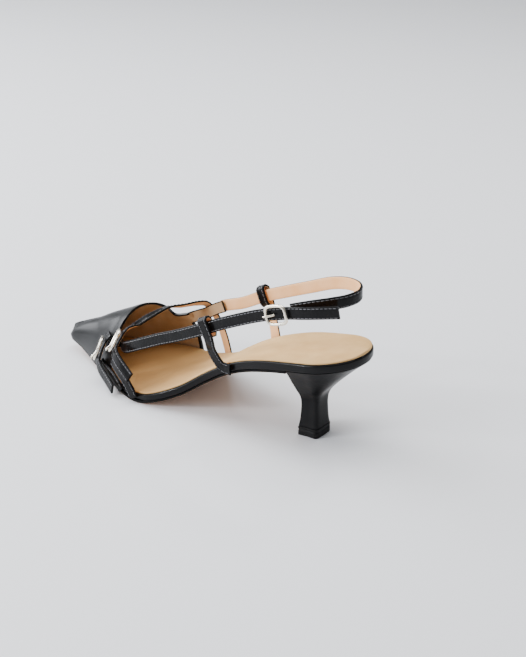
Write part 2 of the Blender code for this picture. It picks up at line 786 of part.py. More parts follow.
def main():
    for obj in list(bpy.data.objects):
        bpy.data.objects.remove(obj, do_unlink=True)
    if "slingback_pump" not in bpy.data.collections:
        collection = bpy.data.collections.new("slingback_pump")
        bpy.context.scene.collection.children.link(collection)
    build_sole()
    build_heel()
    tail = edge_pairs(*standing_route(QUARTER_TAIL_ROUTE, 2), SLING_WIDTH)
    build_upper([sorted(pair, key=lambda p: p.z) for pair in tail][1:])
    routes = {
        "sling_strap": (standing_route(SLING_ROUTE), SLING_WIDTH),
        "side_strap": (standing_route(SIDE_STRAP_ROUTE), SLING_WIDTH),
        "rear_belt": (last_route(REAR_BELT_ROUTE), BELT_WIDTH),
        "front_belt": (last_route(FRONT_BELT_ROUTE), BELT_WIDTH),
        "rear_anchor": (last_route(REAR_ANCHOR_ROUTE), BELT_WIDTH),
        "front_anchor": (last_route(FRONT_ANCHOR_ROUTE), BELT_WIDTH),
    }
    for name, ((points, facings), width) in routes.items():
        strap_body(name, points, facings, width)
    for name, side, foot, rim, loop, bow, carried in SUPPORTS:
        support_strap(name, side, foot, rim, loop, bow, routes[carried][0][0])
    for name, carried, row, size, first, second, tip in BUCKLES:
        buckle(name, *routes[carried][0], row, size, first, second, tip)


main()
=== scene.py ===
"""Studio scene of a left slingback pump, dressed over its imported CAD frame.

Everything is in metres in the frame's own axes: +X to the toe, +Y to the outer side of the left
foot and +Z up, with the origin under the heel's top piece.
"""

import logging
import math
from collections.abc import Callable
from dataclasses import dataclass, field
from enum import Enum

import bpy
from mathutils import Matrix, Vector


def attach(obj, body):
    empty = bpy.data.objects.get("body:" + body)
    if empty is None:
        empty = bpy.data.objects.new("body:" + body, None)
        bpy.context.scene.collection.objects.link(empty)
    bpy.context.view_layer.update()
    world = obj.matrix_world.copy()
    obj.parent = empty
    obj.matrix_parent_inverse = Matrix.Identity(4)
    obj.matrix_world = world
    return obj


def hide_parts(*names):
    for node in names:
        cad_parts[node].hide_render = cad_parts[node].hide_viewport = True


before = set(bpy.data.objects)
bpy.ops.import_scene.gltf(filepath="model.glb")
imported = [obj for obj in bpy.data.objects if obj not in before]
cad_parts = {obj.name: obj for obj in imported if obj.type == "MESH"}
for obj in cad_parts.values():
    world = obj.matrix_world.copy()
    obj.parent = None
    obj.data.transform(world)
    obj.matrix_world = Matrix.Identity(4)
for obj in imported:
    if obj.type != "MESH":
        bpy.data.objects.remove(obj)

LOG = logging.getLogger("slingback_pump")
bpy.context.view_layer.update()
MM = 0.001
STEPS = 12  # points for each row of a strap's route, against three in the CAD source
Row = tuple[float, ...]
Facing = list[Vector]
Profile = Callable[[float], float]


# The last: the same sizes and sections as the CAD source, read more finely

SECTIONS: tuple[Row, ...] = (
    # station, centre, half, height, board
    (0.000, -0.018, 0.326, 1.000, 1.00),
    (0.062, -0.019, 0.331, 0.957, 1.00),
    (0.142, -0.012, 0.335, 0.900, 1.00),
    (0.222, 0.000, 0.329, 0.832, 1.00),
    (0.302, 0.010, 0.302, 0.721, 1.00),
    (0.362, 0.007, 0.292, 0.594, 1.00),
    (0.422, -0.002, 0.316, 0.424, 0.98),
    (0.482, -0.014, 0.392, 0.240, 0.94),
    (0.542, -0.020, 0.464, 0.119, 0.86),
    (0.590, -0.025, 0.498, 0.056, 0.78),
    (0.630, -0.035, 0.509, 0.040, 0.70),
    (0.670, -0.054, 0.492, 0.040, 0.66),
    (0.722, -0.070, 0.442, 0.041, 0.62),
    (0.782, -0.073, 0.362, 0.050, 0.60),
    (0.842, -0.074, 0.272, 0.070, 0.60),
    (0.902, -0.074, 0.184, 0.100, 0.60),
    (0.942, -0.073, 0.136, 0.124, 0.60),
    (1.000, -0.073, 0.088, 0.160, 0.60),
)

RIDGE: tuple[Row, ...] = (
    # station, share of the ridge height
    (0.540, 1.170),
    (0.600, 1.130),
    (0.660, 1.060),
    (0.734, 0.990),
    (0.782, 0.862),
    (0.846, 0.668),
    (0.886, 0.525),
    (0.942, 0.325),
    (0.974, 0.228),
    (1.000, 0.148),
)

TOPLINE: tuple[Row, ...] = (
    # share along the feather line, station, turn in degrees
    (0.00, 0.742, 44.0),
    (0.14, 0.744, 62.0),
    (0.36, 0.741, 84.0),
    (0.48, 0.736, 93.0),
    (0.62, 0.726, 108.0),
    (0.76, 0.716, 125.0),
    (0.88, 0.709, 138.0),
    (1.00, 0.664, 134.0),
)

HEEL_PROFILE: tuple[Row, ...] = (
    # height share, stem share, flare share
    (0.00, 0.97, 0.000),
    (0.05, 0.92, 0.000),
    (0.16, 0.86, 0.000),
    (0.32, 0.83, 0.000),
    (0.42, 0.83, 0.030),
    (0.50, 0.85, 0.110),
    (0.58, 0.90, 0.225),
    (0.68, 0.95, 0.385),
    (0.78, 1.00, 0.560),
    (0.89, 1.00, 0.770),
    (1.00, 1.00, 1.000),
)

# Straps that stand free of the last: station, across, up
QUARTER_TAIL: tuple[Row, ...] = (
    (0.668, -0.880, 0.645),
    (0.642, -0.922, 0.712),
    (0.610, -0.944, 0.795),
    (0.578, -0.932, 0.870),
    (0.548, -0.908, 0.905),
)
SLING: tuple[Row, ...] = (
    (0.566, -0.985, 0.890),
    (0.538, -0.944, 0.910),
    (0.472, -0.830, 0.892),
    (0.392, -0.748, 0.822),
    (0.306, -0.649, 0.788),
    (0.222, -0.551, 0.848),
    (0.152, -0.469, 0.944),
    (0.092, -0.365, 0.990),
    (0.042, -0.198, 0.992),
    (0.018, 0.037, 0.978),
    (0.024, 0.284, 0.974),
    (0.054, 0.469, 0.966),
    (0.094, 0.590, 0.944),
    (0.140, 0.684, 0.905),
)
SIDE_STRAP: tuple[Row, ...] = (
    (0.764, 0.330, 0.492),
    (0.744, 0.362, 0.530),
    (0.692, 0.616, 0.607),
    (0.622, 0.735, 0.798),
    (0.552, 0.759, 0.905),
    (0.482, 0.784, 0.903),
    (0.406, 0.809, 0.815),
    (0.332, 0.809, 0.778),
    (0.252, 0.784, 0.806),
    (0.206, 0.766, 0.836),
    (0.171, 0.752, 0.858),
    (0.136, 0.736, 0.876),
    (0.090, 0.708, 0.888),
    (0.015, 0.600, 0.905),
)

# Straps that follow the last: station, turn, lift in strap thicknesses, lean
REAR_BELT: tuple[Row, ...] = (
    (0.546, 178.5, 0.72, 0.0),
    (0.555, 169.0, 0.90, 0.0),
    (0.571, 157.0, 2.10, 0.0),
    (0.593, 147.0, 4.30, 0.0),
    (0.617, 136.2, 6.06, 12.0),
    (0.631, 129.3, 4.01, 18.0),
    (0.647, 117.2, 0.38, 16.0),
    (0.667, 102.1, -1.22, 7.0),
    (0.694, 81.6, -3.47, 2.0),
    (0.711, 62.9, -3.08, 5.0),
    (0.711, 54.8, -1.04, 15.0),
    (0.707, 47.5, 1.10, 27.0),
    (0.710, 38.4, 1.45, 33.0),
    (0.711, 32.0, 1.85, 22.0),
    (0.689, 28.1, 3.05, 4.0),
    (0.655, 23.3, 2.68, -8.0),
    (0.620, 17.6, 2.46, -12.0),
)
FRONT_BELT: tuple[Row, ...] = (
    (0.766, 43.2, 1.00, 9.0),
    (0.769, 40.6, 1.15, 14.0),
    (0.771, 37.4, 1.35, 20.0),
    (0.772, 31.9, 1.75, 30.0),
    (0.773, 26.7, 2.05, 34.0),
    (0.776, 19.7, 2.55, 24.0),
    (0.777, 15.3, 2.75, 10.0),
    (0.755, 9.8, 3.10, 0.0),
    (0.719, 6.4, 3.20, 0.0),
    (0.679, 3.4, 3.60, 0.0),
)
REAR_ANCHOR: tuple[Row, ...] = (
    (0.618, 1.4, -0.20, 0.0),
    (0.628, 7.0, 0.20, 0.0),
    (0.653, 13.5, 0.60, 0.0),
    (0.687, 18.0, 0.85, 0.0),
    (0.710, 20.5, 0.85, 5.0),
    (0.723, 22.4, 0.85, 9.0),
)
FRONT_ANCHOR: tuple[Row, ...] = (
    (0.675, 1.5, -0.20, 0.0),
    (0.690, 6.0, 0.60, 0.0),
    (0.715, 8.5, 0.75, 0.0),
    (0.750, 10.0, 0.75, 0.0),
    (0.768, 11.0, 0.75, 0.0),
    (0.782, 13.0, 0.75, 0.0),
)

# Main creases of the vamp: station and turn of the middle, reach round the
# section in degrees, half width along the shoe in mm, height in mm (a trough is below zero)
VAMP_CREASES: tuple[Row, ...] = (
    (0.772, 58.0, 24.0, 3.2, -0.16),
    (0.800, 74.0, 30.0, 4.0, 0.12),
    (0.828, 112.0, 26.0, 3.6, -0.14),
    (0.764, 128.0, 20.0, 3.0, -0.12),
    (0.705, 154.0, 18.0, 4.2, -0.16),
)
# Pleats of the lacquered straps: share of the strap's length, slant over its width in mm, half
# width in mm, height in mm
SIDE_PLEATS: tuple[Row, ...] = (
    (0.34, 2.0, 1.5, -0.16), (0.37, -1.5, 1.3, 0.14), (0.41, 2.4, 1.6, -0.18), (0.45, 1.0, 1.3, 0.15),
    (0.49, -2.0, 1.5, -0.20), (0.52, 1.8, 1.2, 0.16), (0.56, 2.2, 1.4, -0.18), (0.60, -1.4, 1.3, 0.16),
    (0.64, 1.6, 1.5, -0.16), (0.82, 1.2, 1.4, -0.12), (0.90, -1.6, 1.6, -0.12),
)
LOOP_PLEATS: tuple[Row, ...] = (
    (0.16, 1.6, 1.6, -0.18), (0.27, -2.0, 1.5, 0.20), (0.36, 2.2, 1.3, -0.24), (0.44, -1.6, 1.2, 0.22),
    (0.52, 1.4, 1.2, -0.22), (0.60, -1.0, 1.1, 0.18),
)
SLING_PLEATS: tuple[Row, ...] = (
    (0.66, 1.6, 2.0, -0.14), (0.74, -2.2, 1.6, 0.16), (0.80, 2.0, 1.5, -0.18), (0.86, -1.6, 1.5, 0.16),
    (0.92, 1.8, 1.6, -0.14),
)
BELT_PLEATS: tuple[Row, ...] = (
    (0.30, 1.6, 1.5, -0.14), (0.38, -1.8, 1.4, 0.14), (0.47, 1.4, 1.4, -0.16), (0.58, -1.6, 1.5, 0.14),
    (0.84, 1.6, 1.6, -0.14),
)


def smooth_value(table: tuple[Row, ...], column: int, at: float) -> float:
    """Read one column of a table on a smooth curve through its rows.

    Args:
        table: Rows whose first column is the place.
        column: Column to read.
        at: Place to read it at.

    Returns:
        The column's value there.
    """
    at = min(max(at, table[0][0]), table[-1][0])
    last = len(table) - 1
    index = 0
    while index < last - 1 and at > table[index + 1][0]:
        index += 1

    def slope(row: int) -> float:
        """Slope of the column through a row's neighbours."""
        low, high = max(row - 1, 0), min(row + 1, last)
        return (table[high][column] - table[low][column]) / (table[high][0] - table[low][0])

    start, end = table[index], table[index + 1]
    span = end[0] - start[0]
    t = (at - start[0]) / span
    return ((2 * t ** 3 - 3 * t ** 2 + 1) * start[column]
            + (t ** 3 - 2 * t ** 2 + t) * span * slope(index)
            + (3 * t ** 2 - 2 * t ** 3) * end[column]
            + (t ** 3 - t ** 2) * span * slope(index + 1))


def smooth_route(knots: list[Vector], steps: int) -> list[Vector]:
    """Run a smooth curve through a list of points.

    Args:
        knots: Points that the curve passes.
        steps: Points to give for each stretch between two knots.

    Returns:
        The curve's points, ends included.
    """
    found = []
    for i in range(len(knots) - 1):
        before, start = knots[max(i - 1, 0)], knots[i]
        end, after = knots[i + 1], knots[min(i + 2, len(knots) - 1)]
        for k in range(steps):
            t = k / steps
            found.append(0.5 * ((2.0 * start) + (end - before) * t
                                + (2.0 * before - 5.0 * start + 4.0 * end - after) * t ** 2
                                + (3.0 * start - before - 3.0 * end + after) * t ** 3))
    found.append(knots[-1])
    return found


def tangents(points: list[Vector]) -> list[Vector]:
    """Give the unit direction at each point of a line."""
    last = len(points) - 1
    return [(points[min(i + 1, last)] - points[max(i - 1, 0)]).normalized() for i in range(last + 1)]


@dataclass(frozen=True)
class Last:
    """Sizes and sections of the last, from which sole, upper and straps take their shape."""

    length: float = 0.2500
    heel_reach: float = 0.0355
    ball_width: float = 0.0810
    seat_height: float = 0.0577
    ridge_height: float = 0.0460
    heel_round: float = 0.0270
    toe_round: float = 0.0075
    gap: float = 0.0003
    outsole: float = 0.0020
    board: float = 0.0055
    wall: float = 0.0015
    flat: tuple[float, float] = (0.600, 0.715)
    toe_start: float = 0.80
    toe_tuck: float = 0.0030
    board_tuck: tuple[float, float] = (0.571, 0.612)
    heel_step: int = 3
    toe_step: int = 5
    outline_probe: float = 0.002
    face_probe: float = 0.004
    turn_probe: float = 1.0

    def x_at(self, station: float) -> float:
        """Give the place along the shoe of a station."""
        return station * self.length - self.heel_reach

    def station_at(self, x: float) -> float:
        """Give the station of a place along the shoe."""
        return (x + self.heel_reach) / self.length

    def centre(self, station: float) -> float:
        """Give the middle of the outline, seen from above."""
        return smooth_value(SECTIONS, 1, station) * self.ball_width

    def half(self, station: float) -> float:
        """Measure half of the outline's width, with both ends rounded.

        Args:
            station: Share of the shoe's length.

        Returns:
            Half of the width there.
        """
        width = smooth_value(SECTIONS, 2, station) * self.ball_width
        for distance, radius in ((station * self.length, self.heel_round),
                                 ((1.0 - station) * self.length, self.toe_round)):
            if distance < radius:
                width *= math.sqrt(max(0.0, 1.0 - ((radius - distance) / radius) ** 2))
        return width

    def feather(self, station: float) -> float:
        """Measure the height of the line where upper and sole meet.

        Args:
            station: Share of the shoe's length.

        Returns:
            The height over the floor.
        """
        base = self.outsole + self.gap
        if self.flat[0] <= station <= self.flat[1]:
            return base
        return max(base, smooth_value(SECTIONS, 3, station) * self.seat_height)

    def board_top(self, station: float) -> float:
        """Give the height of the covered board's top face."""
        return self.feather(station) + smooth_value(SECTIONS, 4, station) * self.board

    def toe_share(self, station: float) -> float:
        """Give a share that grows from 0 where the toe starts to 1 at its tip."""
        return max(0.0, (station - self.toe_start) / (1.0 - self.toe_start)) ** 2

    def board_inset(self, station: float) -> float:
        """Measure how far the board's edge lies inside the outline.

        Args:
            station: Share of the shoe's length.

        Returns:
            The distance.
        """
        start, end = self.board_tuck
        t = min(max((station - start) / (end - start), 0.0), 1.0)
        tucked = (self.wall + self.gap) * t * t * (3.0 - 2.0 * t)
        return tucked + self.toe_tuck * self.toe_share(station)

    def outline(self, station: float, side: float) -> Vector:
        """Give a point of the outline from above; side is 1 outside and -1 inside."""
        return Vector((self.x_at(station), self.centre(station) + side * self.half(station), 0.0))

    def outline_normal(self, station: float, side: float) -> Vector:
        """Find the outline's outward direction from above.

        Args:
            station: Share of the shoe's length.
            side: 1 on the outer side and -1 on the inner.

        Returns:
            The level unit direction.
        """
        if station <= 0.0 or station >= 1.0:
            return Vector((-1.0 if station <= 0.0 else 1.0, 0.0, 0.0))
        low = max(station - self.outline_probe, 0.0)
        high = min(station + self.outline_probe, 1.0)
        along = self.outline(high, side) - self.outline(low, side)
        return Vector((-side * along.y, side * along.x, 0.0)).normalized()

    def face(self, station: float, turn: float) -> Vector:
        """Give a point of the upper's outer face.

        Args:
            station: Share of the shoe's length.
            turn: Angle round the section from the outer feather edge, in degrees.

        Returns:
            The point on the last's face.
        """
        angle = math.radians(turn)
        ridge = smooth_value(RIDGE, 1, station) * self.ridge_height
        return Vector((self.x_at(station), self.centre(station) + self.half(station) * math.cos(angle),
                       self.feather(station) + ridge * math.sin(angle)))

    def face_normal(self, station: float, turn: float) -> Vector:
        """Find the outward direction of the last's face.

        Args:
            station: Share of the shoe's length.
            turn: Angle round the section from the outer feather edge, in degrees.

        Returns:
            The unit direction.
        """
        step, swing = self.face_probe, self.turn_probe
        along = self.face(station + step, turn) - self.face(station - step, turn)
        around = self.face(station, turn + swing) - self.face(station, turn - swing)
        return around.cross(along).normalized()

    def stations(self, start: float, end: float, pitch: float) -> list[float]:
        """Give stations for a slab, closer together where an end is rounded.

        Args:
            start: First station.
            end: Last station.
            pitch: Distance between stations in the middle stretch, in metres.

        Returns:
            The stations from the heel to the toe.
        """
        heel_end, toe_start = self.heel_round / self.length, 1.0 - 2.0 * self.toe_round / self.length
        found = []
        if start <= 0.0:
            found += [heel_end * (1.0 - math.cos(math.radians(a))) for a in range(0, 90, self.heel_step)]
            start = heel_end
        middle = toe_start if end >= 1.0 else end
        count = max(2, round((middle - start) * self.length / pitch))
        found += [start + (middle - start) * i / count for i in range(count)]
        if end >= 1.0:
            found += [toe_start + (1.0 - toe_start) * math.sin(math.radians(a))
                      for a in range(0, 91, self.toe_step)]
        else:
            found.append(end)
        return found


LAST = Last()


def srgb(code: str) -> tuple[float, float, float, float]:
    """Turn an sRGB hex colour into the linear values that shaders take.

    Args:
        code: Six hex digits.

    Returns:
        Linear red, green, blue and an alpha of 1.
    """
    values = []
    for i in (0, 2, 4):
        c = int(code[i:i + 2], 16) / 255.0
        values.append(c / 12.92 if c <= 0.04045 else ((c + 0.055) / 1.055) ** 2.4)
    return (*values, 1.0)


def add_node(tree: bpy.types.NodeTree, kind: str, settings: dict | None = None,
             links: dict | None = None) -> bpy.types.Node:
    """Add one shader node.

    Args:
        tree: Node tree to add it to.
        kind: Blender's name of the node type.
        settings: Values by property name, or by input name for sockets.
        links: Output sockets by input name.

    Returns:
        The new node.
    """
    node = tree.nodes.new(kind)
    for name, value in (settings or {}).items():
        if name in node.inputs:
            node.inputs[name].default_value = value
        else:
            setattr(node, name, value)
    for name, output in (links or {}).items():
        tree.links.new(output, node.inputs[name])
    return node


def new_material(name: str) -> tuple[bpy.types.Material, bpy.types.NodeTree, bpy.types.Node]:
    """Start a material with an empty principled shader.

    Args:
        name: Name of the material.

    Returns:
        The material, its node tree and its shader.
    """
    material = bpy.data.materials.new(name)
    material.use_nodes = True
    return material, material.node_tree, material.node_tree.nodes["Principled BSDF"]


@dataclass(frozen=True)
class Finish:
    """Base of the leather finishes: two tones, a grain, creases, roughness, a coat and an optional
    painted shade toward the toe.
    """

    name: str
    colour: str
    second: str
    roughness: float
    roughness_swing: float
    grain_mm: float
    grain_height_mm: float
    crease_mm: float
    crease_height_mm: float
    tone_mm: float = 14.0
    coat: float = 0.0
    coat_roughness: float = 0.05
    specular: float = 0.5
    # painted shade: a darker colour toward the toe, and the span along X over which it fades in
    painted_shade: str = ""
    painted_shade_from: float = 0.150
    painted_shade_to: float = 0.050
    tone_detail: float = 4.0
    tone_roughness: float = 0.55
    tone_span: tuple[float, float] = (0.32, 0.72)
    crease_detail: float = 3.0
    crease_distortion: float = 0.7

    def material(self) -> bpy.types.Material:
        """Build the finish's material, once.

        Returns:
            The material.
        """
        found = bpy.data.materials.get(self.name)
        if found:
            return found
        material, tree, shader = new_material(self.name)
        place = add_node(tree, "ShaderNodeTexCoord").outputs["Object"]
        tone = add_node(tree, "ShaderNodeTexNoise",
                        {"Scale": 1.0 / (self.tone_mm * MM), "Detail": self.tone_detail,
                         "Roughness": self.tone_roughness}, {"Vector": place})
        colour = add_node(tree, "ShaderNodeValToRGB", links={"Fac": tone.outputs["Fac"]})
        for i, tint in enumerate((self.colour, self.second)):
            colour.color_ramp.elements[i].position = self.tone_span[i]
            colour.color_ramp.elements[i].color = srgb(tint)
        tree.links.new(colour.outputs["Color"], shader.inputs["Base Color"])
        if self.painted_shade:
            # painted shade: the colour darkens toward the toe, where the vamp shades the leather
            axes = add_node(tree, "ShaderNodeSeparateXYZ", links={"Vector": place})
            share = add_node(tree, "ShaderNodeMapRange",
                             {"From Min": self.painted_shade_from, "From Max": self.painted_shade_to,
                              "interpolation_type": "SMOOTHSTEP"}, {"Value": axes.outputs["X"]})
            painted_shade_mix = add_node(tree, "ShaderNodeMix", {"data_type": "RGBA"},
                             {"Factor": share.outputs["Result"]})
            painted_shade_mix.inputs[6].default_value = srgb(self.painted_shade)
            tree.links.new(colour.outputs["Color"], painted_shade_mix.inputs[7])
            tree.links.new(painted_shade_mix.outputs[2], shader.inputs["Base Color"])
        # pores and cells of the grain, then the wider creases of the hide
        grain = add_node(tree, "ShaderNodeTexVoronoi",
                         {"Scale": 1.0 / (self.grain_mm * MM), "Randomness": 1.0}, {"Vector": place})
        bump = add_node(tree, "ShaderNodeBump",
                        {"Strength": 1.0, "Distance": self.grain_height_mm * MM},
                        {"Height": grain.outputs["Distance"]})
        crease = add_node(tree, "ShaderNodeTexNoise",
                          {"Scale": 1.0 / (self.crease_mm * MM), "Detail": self.crease_detail,
                           "Distortion": self.crease_distortion}, {"Vector": place})
        wide = add_node(tree, "ShaderNodeBump",
                        {"Strength": 1.0, "Distance": self.crease_height_mm * MM},
                        {"Height": crease.outputs["Fac"], "Normal": bump.outputs["Normal"]})
        tree.links.new(wide.outputs["Normal"], shader.inputs["Normal"])
        rough = add_node(tree, "ShaderNodeMapRange",
                         {"To Min": self.roughness, "To Max": self.roughness + self.roughness_swing},
                         {"Value": tone.outputs["Fac"]})
        tree.links.new(rough.outputs["Result"], shader.inputs["Roughness"])
        shader.inputs["Specular IOR Level"].default_value = self.specular
        shader.inputs["Coat Weight"].default_value = self.coat
        shader.inputs["Coat Roughness"].default_value = self.coat_roughness
        return material


# Patent leather: hide under a thick clear lacquer. The lacquer levels the grain, so the eye sees
# deep black with mirror-like streaks that break over soft creases.
PATENT = Finish("patent_leather_black", "050506", "0A0A0B", 0.34, 0.12, 0.9, 0.02, 6.0, 0.10,
                coat=0.20, coat_roughness=0.05, specular=0.05)
# Crinkled patent: the same lacquer on a boarded hide. Its small pleats catch many short glints.
CRINKLED = Finish("crinkled_patent_leather_black", "050506", "0B0B0C", 0.34, 0.16, 1.7, 0.20, 3.2, 0.34,
                  coat=0.19, coat_roughness=0.05, specular=0.04)
# Polished calf: glazed under pressure. It gives a broad soft reflection with hardly any grain.
CALF = Finish("polished_calf_leather_black", "08090A", "0E0F10", 0.36, 0.10, 0.6, 0.012, 22.0, 0.06,
              coat=0.20, coat_roughness=0.22, specular=0.08)
# Lining kid: drum dyed, not lacquered. It is matte, fine pored and a little warmer in its folds.
LINING = Finish("lining_kid_leather_tan", "A58560", "B49878", 0.60, 0.10, 0.7, 0.03, 12.0, 0.08,
                specular=0.2)
# Sock: the same kid, pressed flat on the board by the cement. Its colour carries a painted shade, darker
# toward the toe where the vamp shades it.
SOCK = Finish("insole_kid_leather_sand", "C39C66", "D0AB78", 0.58, 0.10, 0.7, 0.025, 18.0, 0.06,
              specular=0.15, painted_shade="A57E4E")
# Strap lining: the same kid, split thin and pasted on. It is pale, with a fine matte grain.
STRAP_LINING = Finish("strap_lining_kid_leather_cream", "E8AE76", "EFBC8A", 0.60, 0.08, 0.6, 0.02,
                      12.0, 0.05, specular=0.15)
# Sole leather: bend stained and waxed at its face and edge. It has a satin face with long fibres.
SOLE = Finish("waxed_sole_leather_beige", "C79F80", "D8B497", 0.42, 0.14, 1.1, 0.03, 9.0, 0.05,
              specular=0.4)
# Sole edge: the same bend, inked black and burnished with hot wax. It has a dull soft shine.
SOLE_EDGE = Finish("inked_sole_edge_black", "080808", "0F0F0F", 0.38, 0.12, 0.8, 0.02, 6.0, 0.04,
                   specular=0.08)
# Top piece: moulded rubber. It is matte, near black and pitted like cast rubber.
RUBBER = Finish("moulded_rubber_black", "0C0C0C", "141414", 0.50, 0.15, 0.5, 0.02, 5.0, 0.04,
                specular=0.2)
# Thread: bonded nylon with wax, grey on the black straps. The grey is partly the thread's own colour and
# partly a painted highlight, so each stitch reads as a light dash; each stitch also catches a small
# glint.
THREAD = Finish("waxed_nylon_thread_grey", "48484B", "68686C", 0.28, 0.10, 0.25, 0.03, 2.0, 0.02)


@dataclass(frozen=True)
class Metal:
    """Cast zinc with a pale gold plate, tumbled and polished, with faint hairlines."""

    name: str = "polished_pale_gold_plated_zinc"
    colour: str = "E9E2D2"
    roughness: float = 0.14
    roughness_swing: float = 0.14
    hairline_mm: float = 0.35
    hairline_height_mm: float = 0.01
    hairline_strength: float = 0.2

    def material(self) -> bpy.types.Material:
        """Build the plate, once: a bright mirror softened by tumbling marks.

        Returns:
            The material.
        """
        found = bpy.data.materials.get(self.name)
        if found:
            return found
        material, tree, shader = new_material(self.name)
        shader.inputs["Base Color"].default_value = srgb(self.colour)
        shader.inputs["Metallic"].default_value = 1.0
        place = add_node(tree, "ShaderNodeTexCoord").outputs["Object"]
        marks = add_node(tree, "ShaderNodeTexNoise",
                         {"Scale": 1.0 / (self.hairline_mm * MM), "Detail": 2.0}, {"Vector": place})
        rough = add_node(tree, "ShaderNodeMapRange",
                         {"To Min": self.roughness, "To Max": self.roughness + self.roughness_swing},
                         {"Value": marks.outputs["Fac"]})
        tree.links.new(rough.outputs["Result"], shader.inputs["Roughness"])
        bump = add_node(tree, "ShaderNodeBump",
                        {"Strength": self.hairline_strength,
                         "Distance": self.hairline_height_mm * MM}, {"Height": marks.outputs["Fac"]})
        tree.links.new(bump.outputs["Normal"], shader.inputs["Normal"])
        return material


METAL = Metal()


class Slot(Enum):
    """Material slots of the record."""

    PATENT = "patent_black"
    CALF = "smooth_black"
    LINING = "lining_tan"
    OUTSOLE = "outsole_beige"
    RUBBER = "rubber_black"
    METAL = "pale_metal"


@dataclass
class MeshParts:
    """Points, faces and material numbers of a mesh that is built bit by bit."""

    points: list[Vector] = field(default_factory=list)
    faces: list[tuple[int, ...]] = field(default_factory=list)
    indices: list[int] = field(default_factory=list)

    def tube(self, rings: list[list[Vector]], closed: bool = False, caps: bool = True,
             marks: list[int] | None = None) -> None:
        """Add a tube of rings.

        Args:
            rings: Rings of equal length.
            closed: Whether the last ring joins the first.
            caps: Whether open ends get a face.
            marks: Material number of each column, or None for the first material.
        """
        base, size = len(self.points), len(rings[0])
        for ring in rings:
            self.points += ring
        count = len(rings)
        for level in range(count if closed else count - 1):
            low, high = base + level * size, base + ((level + 1) % count) * size
            for i in range(size):
                j = (i + 1) % size
                self.faces.append((low + i, low + j, high + j, high + i))
                self.indices.append(marks[i] if marks else 0)
        if caps and not closed:
            top = base + (count - 1) * size
            self.faces.append(tuple(reversed(range(base, base + size))))
            self.faces.append(tuple(range(top, top + size)))
            self.indices += [0, 0]

    def add_piece(self, name: str, materials: list[bpy.types.Material], slot: Slot,
                  nodes: tuple[str, ...] = (), sharp: float = 50.0) -> None:
        """Link the mesh as a piece, dress it and let it ride on the shoe's body.

        Args:
            name: Name of the piece.
            materials: Materials of the piece.
            slot: Not used; the record's material slot of the piece.
            nodes: CAD nodes that it stands for.
            sharp: Angle from which an edge shows as an edge, in degrees.
        """
        mesh = bpy.data.meshes.new(name)
        mesh.from_pydata([tuple(p) for p in self.points], [], self.faces)
        for material in materials:
            mesh.materials.append(material)
        mesh.polygons.foreach_set("material_index", self.indices)
        mesh.shade_smooth()
        mesh.set_sharp_from_angle(angle=math.radians(sharp))
        mesh.update()
        obj = bpy.data.objects.new(name, mesh)
        bpy.context.scene.collection.objects.link(obj)
        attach(obj, "root")
        if nodes:
            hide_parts(*nodes)
        LOG.info("%s: %d faces", name, len(self.faces))


def circle(centre: Vector, first: Vector, second: Vector, radius: float, count: int) -> list[Vector]:
    """Give a ring of points round a centre, in the plane of two directions."""
    return [centre + (first * math.cos(2 * math.pi * k / count)
                      + second * math.sin(2 * math.pi * k / count)) * radius for k in range(count)]


def wire(parts: MeshParts, points: list[Vector], radius: float | list[float], closed: bool,
         sides: int) -> None:
    """Add round wire through points.

    Args:
        parts: Mesh to add to.
        points: Points of the wire's middle.
        radius: Radius, or a radius for each point.
        closed: Whether the wire is a ring.
        sides: Points round the wire.
    """
    count = len(points)
    radii = radius if isinstance(radius, list) else [radius] * count
    side = None
    rings = []
    for i, point in enumerate(points):
        before = points[(i - 1) % count] if closed else points[max(i - 1, 0)]
        after = points[(i + 1) % count] if closed else points[min(i + 1, count - 1)]
        along = (after - before).normalized()
        if side is None:
            side = along.orthogonal().normalized()
        side = (side - along * side.dot(along)).normalized()
        rings.append(circle(point, side, along.cross(side), radii[i], sides))
    parts.tube(rings, closed)


